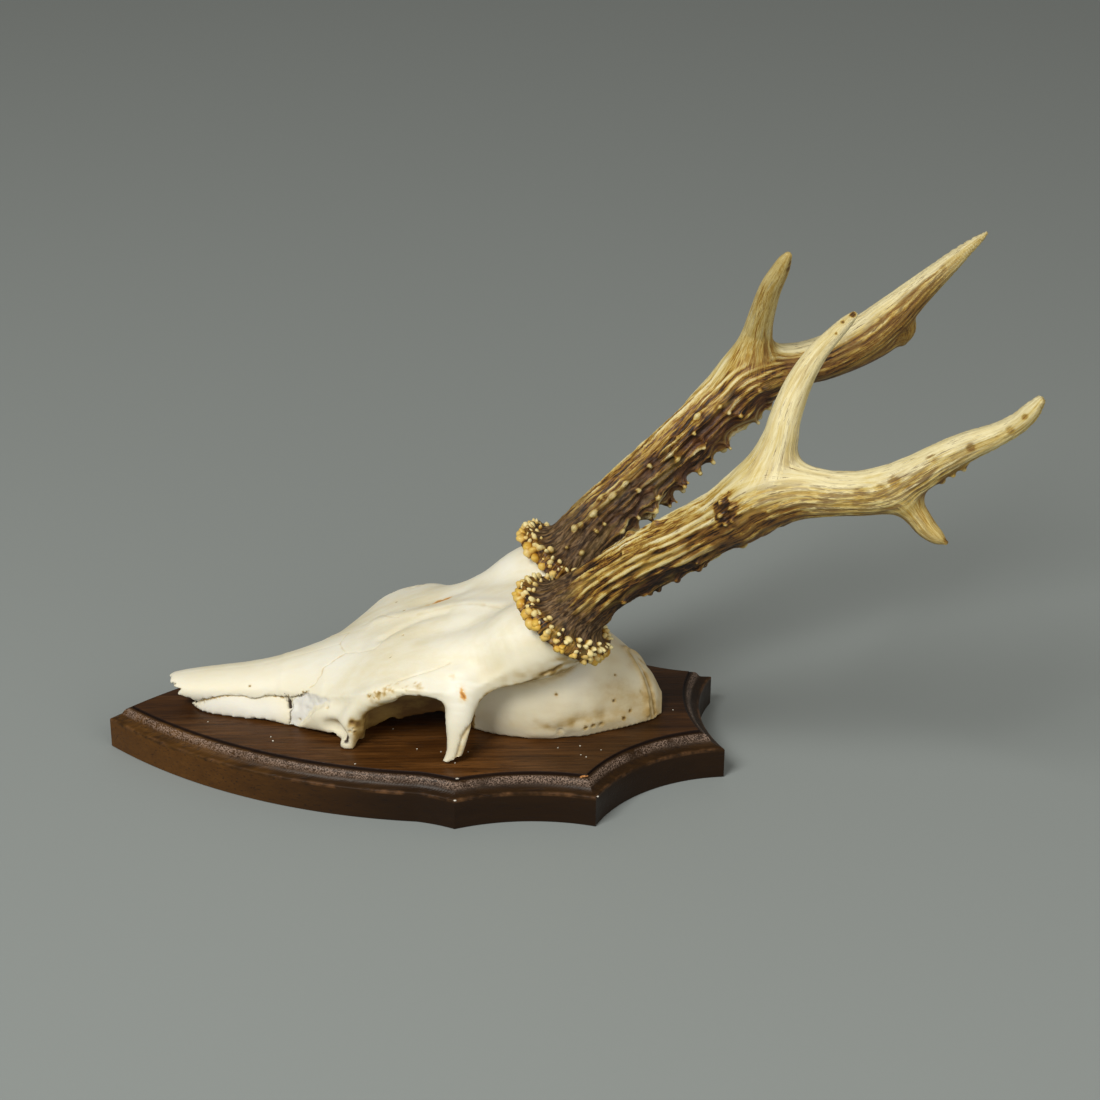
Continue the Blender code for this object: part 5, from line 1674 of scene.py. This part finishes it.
def antler_material():
    material, tree, shader = start_material("antler")
    names = ("tone", "bark", "red", "tine", "mottle")
    tone, bark, red, tine, mottle = (attribute(tree, name) for name in names)
    flows = [attribute(tree, name, "Vector") for name in ("beam_flow", "tine_flow")]

    def both(width, length, detail=3.0):
        one, two = (grain(tree, flow, width, length, detail) for flow in flows)
        return times_plus(tree, tine, math_node(tree, "SUBTRACT", two, one), one)

    streak, hair = both(1.5, 14.0), both(0.5, 5.5)
    level = times_plus(tree, centred(tree, streak), 0.75, tone)
    fibres = math_node(tree, "SUBTRACT", ramp_up(tree, hair, 0.41, 0.59), 0.55)
    strength = times_plus(tree, ramp_up(tree, tone, 0.60, 0.88), -0.24, 0.36)
    level = times_plus(tree, fibres, strength, level)
    body = steps(tree, level, [(0.0, (0.016, 0.006, 0.002)), (0.15, (0.075, 0.029, 0.006)),
                               (0.33, (0.23, 0.10, 0.012)), (0.52, (0.46, 0.29, 0.050)),
                               (0.76, (0.67, 0.54, 0.21)), (1.0, (0.83, 0.75, 0.46))])
    dash = times(tree, ramp_up(tree, hair, 0.54, 0.62), ramp_up(tree, streak, 0.49, 0.60))
    body = mix(tree, times(tree, dash, 0.85), body, (0.17, 0.080, 0.015))
    smear = times_plus(tree, centred(tree, hair), 0.9, both(2.4, 10.0))
    smear = times(tree, ramp_up(tree, smear, 0.45, 0.54), mottle)
    body = mix(tree, times(tree, smear, 0.80), body, (0.15, 0.068, 0.012))
    ochre = ramp_up(tree, both(5.0, 22.0, 2.0), 0.52, 0.70)
    body = mix(tree, times(tree, ochre, 0.42), body, (0.44, 0.29, 0.062))
    body = mix(tree, times(tree, red, 0.55), body, (0.115, 0.040, 0.016))
    rough = both(0.8, 2.6)
    dust = steps(tree, rough, [(0.40, (0.024, 0.014, 0.007)), (0.51, (0.085, 0.050, 0.022)),
                               (0.62, (0.23, 0.15, 0.075))])
    body = mix(tree, times(tree, bark, 0.72), body, dust)
    tree.links.new(body, shader.inputs["Base Color"])
    tree.links.new(times_plus(tree, bark, 0.20, 0.46), shader.inputs["Roughness"])
    set_inputs(shader, Specular_IOR_Level=0.35)
    relief = times_plus(tree, dash, -0.3, hair)
    relief = times_plus(tree, times(tree, bark, rough), 1.6, relief)
    bump_up(tree, shader, relief, 0.75, 0.40)
    return material


ANTLER = antler_material()
build_antler("left_antler", -1.0, [LEFT_BEAM, LEFT_FRONT_TINE, LEFT_REAR_TINE], [(9.0, 0.88), (6.0, 0.64)],
             LEFT_KNOBS, LEFT_SPOTS, ("left_antler_beam", "left_front_tine", "left_rear_tine"), 100)
build_antler("right_antler", 1.0, [RIGHT_BEAM, RIGHT_FRONT_TINE, RIGHT_SPUR, RIGHT_WEB],
             [(9.0, 0.68), (3.0, 0.56), (5.0, 0.46)], RIGHT_KNOBS, RIGHT_SPOTS,
             ("right_antler_beam", "right_front_tine"), 300)

# %% [markdown]
# ## Burr pearls
# The burr is ringed by bony beads: amber nuggets round its outer edge, a row of
# cream grains like rice on the rim and a few small ones further in. Copying a
# hundred balls by hand is slow to change, so Geometry Nodes puts one small drop on
# every point, stretches it at random and dents it.

# %% Burr pearls
def pearl_tree():
    tree, given, output = new_tree("pearls", Seed="Int", Dents="Float", Finish="Material")
    ball = add_node(tree, "GeometryNodeMeshIcoSphere", Radius=1.0, Subdivisions=2)
    place = tree.nodes.new("GeometryNodeInputPosition").outputs[0]
    height = add_node(tree, "ShaderNodeSeparateXYZ", Vector=place).outputs["Z"]
    tip = times_plus(tree, height, 0.5, 0.5)
    named = add_node(tree, "GeometryNodeStoreNamedAttribute", {"data_type": "FLOAT", "domain": "POINT"},
                     Geometry=ball.outputs[0], Name="tip", Value=tip)
    taper = times_plus(tree, height, -0.24, 1.0)
    narrow = add_node(tree, "ShaderNodeCombineXYZ", X=taper, Y=taper, Z=1.0)
    drop = add_node(tree, "ShaderNodeVectorMath", {"operation": "MULTIPLY"})
    tree.links.new(place, drop.inputs[0])
    tree.links.new(narrow.outputs[0], drop.inputs[1])
    shaped = add_node(tree, "GeometryNodeSetPosition", Geometry=named.outputs[0], Position=drop.outputs[0])
    lean, size = (add_node(tree, "GeometryNodeInputNamedAttribute", {"data_type": "FLOAT_VECTOR"}, Name=name)
                  for name in ("lean", "size"))
    turn = add_node(tree, "FunctionNodeAlignRotationToVector", {"axis": "Z"},
                    Vector=lean.outputs["Attribute"])
    chance = add_node(tree, "FunctionNodeRandomValue", {"data_type": "FLOAT_VECTOR"},
                      Min=(0.72, 0.78, 0.75), Max=(1.25, 1.2, 1.3))
    tree.links.new(given.outputs["Seed"], chance.inputs["Seed"])
    scale = add_node(tree, "ShaderNodeVectorMath", {"operation": "MULTIPLY"})
    tree.links.new(chance.outputs[0], scale.inputs[0])
    tree.links.new(size.outputs["Attribute"], scale.inputs[1])
    many = add_node(tree, "GeometryNodeInstanceOnPoints", Points=given.outputs["Geometry"],
                    Instance=shaped.outputs[0], Rotation=turn.outputs[0], Scale=scale.outputs[0])
    real = add_node(tree, "GeometryNodeRealizeInstances", Geometry=many.outputs[0])
    dents = add_node(tree, "ShaderNodeTexNoise", Vector=place, Scale=420.0, Detail=1.0)
    depth = times(tree, centred(tree, dents.outputs[0]), given.outputs["Dents"])
    normal = tree.nodes.new("GeometryNodeInputNormal").outputs[0]
    offset = add_node(tree, "ShaderNodeVectorMath", {"operation": "SCALE"}, Vector=normal, Scale=depth)
    dented = add_node(tree, "GeometryNodeSetPosition", Geometry=real.outputs[0], Offset=offset.outputs[0])
    finished(tree, dented.outputs[0], given.outputs["Finish"], output)
    return tree


# %% [markdown]
# ## Pearl material
# A pearl is amber at the foot and cream where it is rubbed, with a soft shine. `tip`
# runs up each drop, and `hue` is its own mix of the two.

# %% Pearl material
def pearl_material():
    material, tree, shader = start_material("pearls")
    place = object_place(tree)
    tip, hue = attribute(tree, "tip"), attribute(tree, "hue")
    blotch = noise_node(tree, place, 500.0, 3.0)
    level = times_plus(tree, centred(tree, blotch), 0.8, tip)
    amber = steps(tree, level, [(0.18, (0.17, 0.062, 0.006)), (0.45, (0.50, 0.24, 0.022)),
                                (0.88, (0.72, 0.47, 0.08))])
    cream = steps(tree, level, [(0.26, (0.14, 0.060, 0.012)), (0.48, (0.52, 0.32, 0.055)),
                                (0.74, (0.84, 0.73, 0.37))])
    tree.links.new(mix(tree, hue, amber, cream), shader.inputs["Base Color"])
    set_inputs(shader, Roughness=0.40, Specular_IOR_Level=0.35)
    return material


# %% [markdown]
# ## Placing the pearls
# Scattering would spread them at random, but they stand in rings. Each ring is a row
# of the table, and a little chance moves, leans and sizes every pearl.

# %% Placing the pearls
def point_mesh(name, points, side, lean, size, hue):
    """Loose points in the world, each with a direction, a size and a hue."""
    spot = np.array(world_from_skull(side))
    mesh = bpy.data.meshes.new(name)
    mesh.vertices.add(len(points))
    world = (points @ spot[:3, :3].T + spot[:3, 3]) * MM
    mesh.vertices.foreach_set("co", world.astype(np.float32).ravel())
    give(mesh, "lean", lean @ spot[:3, :3].T)
    give(mesh, "size", size * MM)
    give(mesh, "hue", hue)
    return mesh


# (how many, beyond the burr's radius, height on the burr, lean outward, lean up, width, length, hue)
PEARL_ROWS = [(30, -1.3, -2.4, 1.0, -0.35, 2.0, 2.0, 0.05), (29, -1.4, -0.7, 1.0, 0.0, 1.6, 2.0, 0.30),
              (32, -1.9, 0.8, 1.0, 0.35, 1.15, 1.9, 0.75), (32, -2.9, 2.1, 1.0, 0.7, 1.1, 2.1, 0.95),
              (16, -5.2, 3.1, 0.7, 1.0, 1.0, 1.5, 0.75)]
PEARL_DENTS = 2.2


def build_pearls(name, side, seed):
    chance = np.random.default_rng(seed)
    frame_axes = np.linalg.inv(burr_place(np.eye(3) + BURR_CENTRE))
    points, leans, sizes, hues = [], [], [], []
    for count, beyond, height, out, up, width, length, hue in PEARL_ROWS:
        turn = (np.arange(count) + chance.uniform(-0.32, 0.32, count)) * math.tau / count
        turn = turn + chance.uniform(0, 1)
        round_way = np.column_stack([np.cos(turn), np.sin(turn), np.zeros(count)])
        radius = BURR_RADIUS + beyond + chance.uniform(-0.7, 0.7, count)
        local = round_way * radius[:, None] + [0, 0, 1] * (height + chance.uniform(-0.6, 0.6, count))[:, None]
        points.append(BURR_CENTRE + local @ frame_axes)
        lean = round_way * out + [0, 0, up] + chance.normal(0, 0.18, (count, 3))
        leans.append(lean @ frame_axes)
        growth = chance.uniform(0.75, 1.25, count)
        sizes.append(np.column_stack([width * growth, width * growth, length * growth]))
        hues.append(np.clip(hue + chance.normal(0, 0.18, count), 0, 1))
    mesh = point_mesh(name, np.vstack(points), side, np.vstack(leans), np.vstack(sizes), np.concatenate(hues))
    mesh = grown(mesh, PEARLS, Seed=seed, Dents=PEARL_DENTS * MM, Finish=PEARL)
    mesh.polygons.foreach_set("use_smooth", np.ones(len(mesh.polygons), bool))
    add_piece(name, mesh, PEARL, "antler")


PEARL = pearl_material()
PEARLS = pearl_tree()
build_pearls("left_antler_pearls", -1.0, 11)
build_pearls("right_antler_pearls", 1.0, 12)

# %% [markdown]
# ## Bone dust and chips
# A few crumbs of bone lie on the shield, and its arris is chipped at three
# corners, where raw wood or old filler shows. A particle system would need a seed
# that happens to fit, so the places are given.

# %% Bone dust
DUST = [(-57.3, -26.6), (-56.3, -29.8), (-8.5, -21.3), (1.3, -37.4), (10.9, -39.9), (21.6, -40.2),
        (66.3, -36.5), (66.3, -43.5), (74.5, -39.8), (68.3, -45.1), (105.6, -8.3), (-83.5, -14.0),
        (16.4, -48.6), (57.4, -37.8), (-22.9, -48.5)]
DUST_HEIGHT = 19.0
# (place, size) of chips of raw wood and of filler
RAW_CHIPS = [((67.2, -58.4, 18.2), (1.5, 0.8, 0.4)), ((65.8, -58.9, 18.1), (0.8, 0.6, 0.4)),
             ((-42.4, -47.7, 13.3), (1.0, 0.5, 0.4))]
FILLER_CHIPS = [((16.3, -67.2, 13.1), (0.7, 0.5, 0.3)), ((72.0, -65.5, 13.1), (0.5, 0.4, 0.3)),
                ((17.2, -60.1, 18.7), (0.8, 0.4, 0.3))]


def plain_material(name, colour):
    material, tree, shader = start_material(name)
    cloud = noise_node(tree, object_place(tree), 1500.0)
    dark = tuple(0.6 * part for part in colour)
    tree.links.new(steps(tree, cloud, [(0.4, dark), (0.6, colour)]), shader.inputs["Base Color"])
    set_inputs(shader, Roughness=0.7)
    return material


# %% [markdown]
# ## Crumbs
# Each crumb is one low ball, put on its point and squashed by Geometry Nodes.

# %% Crumbs
def crumb_tree():
    tree, given, output = new_tree("crumbs", Seed="Int", Finish="Material")
    ball = add_node(tree, "GeometryNodeMeshIcoSphere", Radius=1.0, Subdivisions=1)
    size = add_node(tree, "GeometryNodeInputNamedAttribute", {"data_type": "FLOAT_VECTOR"}, Name="size")
    turn = add_node(tree, "FunctionNodeRandomValue", {"data_type": "FLOAT"}, Min=-0.6, Max=0.6)
    turned = add_node(tree, "ShaderNodeCombineXYZ", Z=turn.outputs[1])
    tree.links.new(given.outputs["Seed"], turn.inputs["Seed"])
    many = add_node(tree, "GeometryNodeInstanceOnPoints", Points=given.outputs["Geometry"],
                    Instance=ball.outputs[0], Rotation=turned.outputs[0], Scale=size.outputs["Attribute"])
    finished(tree, many.outputs[0], given.outputs["Finish"], output)
    return tree


def build_crumbs(name, places, sizes, material, slot):
    mesh = bpy.data.meshes.new(name)
    mesh.from_pydata([Vector(place) * MM for place in places], [], [])
    give(mesh, "size", np.array(sizes) * MM)
    add_piece(name, grown(mesh, CRUMBS, Seed=5, Finish=material), material, slot)


CRUMBS = crumb_tree()
chance = np.random.default_rng(8)
crumb_sizes = [chance.uniform(0.2, 0.45, 3) * (1.0, 1.0, 0.7) for _ in DUST]
BONE_DUST = plain_material("bone dust", (0.85, 0.82, 0.72))
RAW_WOOD = plain_material("raw wood", (0.62, 0.27, 0.08))
FILLER = plain_material("filler", (0.80, 0.76, 0.68))
build_crumbs("bone_dust", [(x, y, DUST_HEIGHT) for x, y in DUST], crumb_sizes, BONE_DUST, "bone")
build_crumbs("raw_chips", *zip(*RAW_CHIPS), RAW_WOOD, "stained_wood")
build_crumbs("filler_chips", *zip(*FILLER_CHIPS), FILLER, "stained_wood")
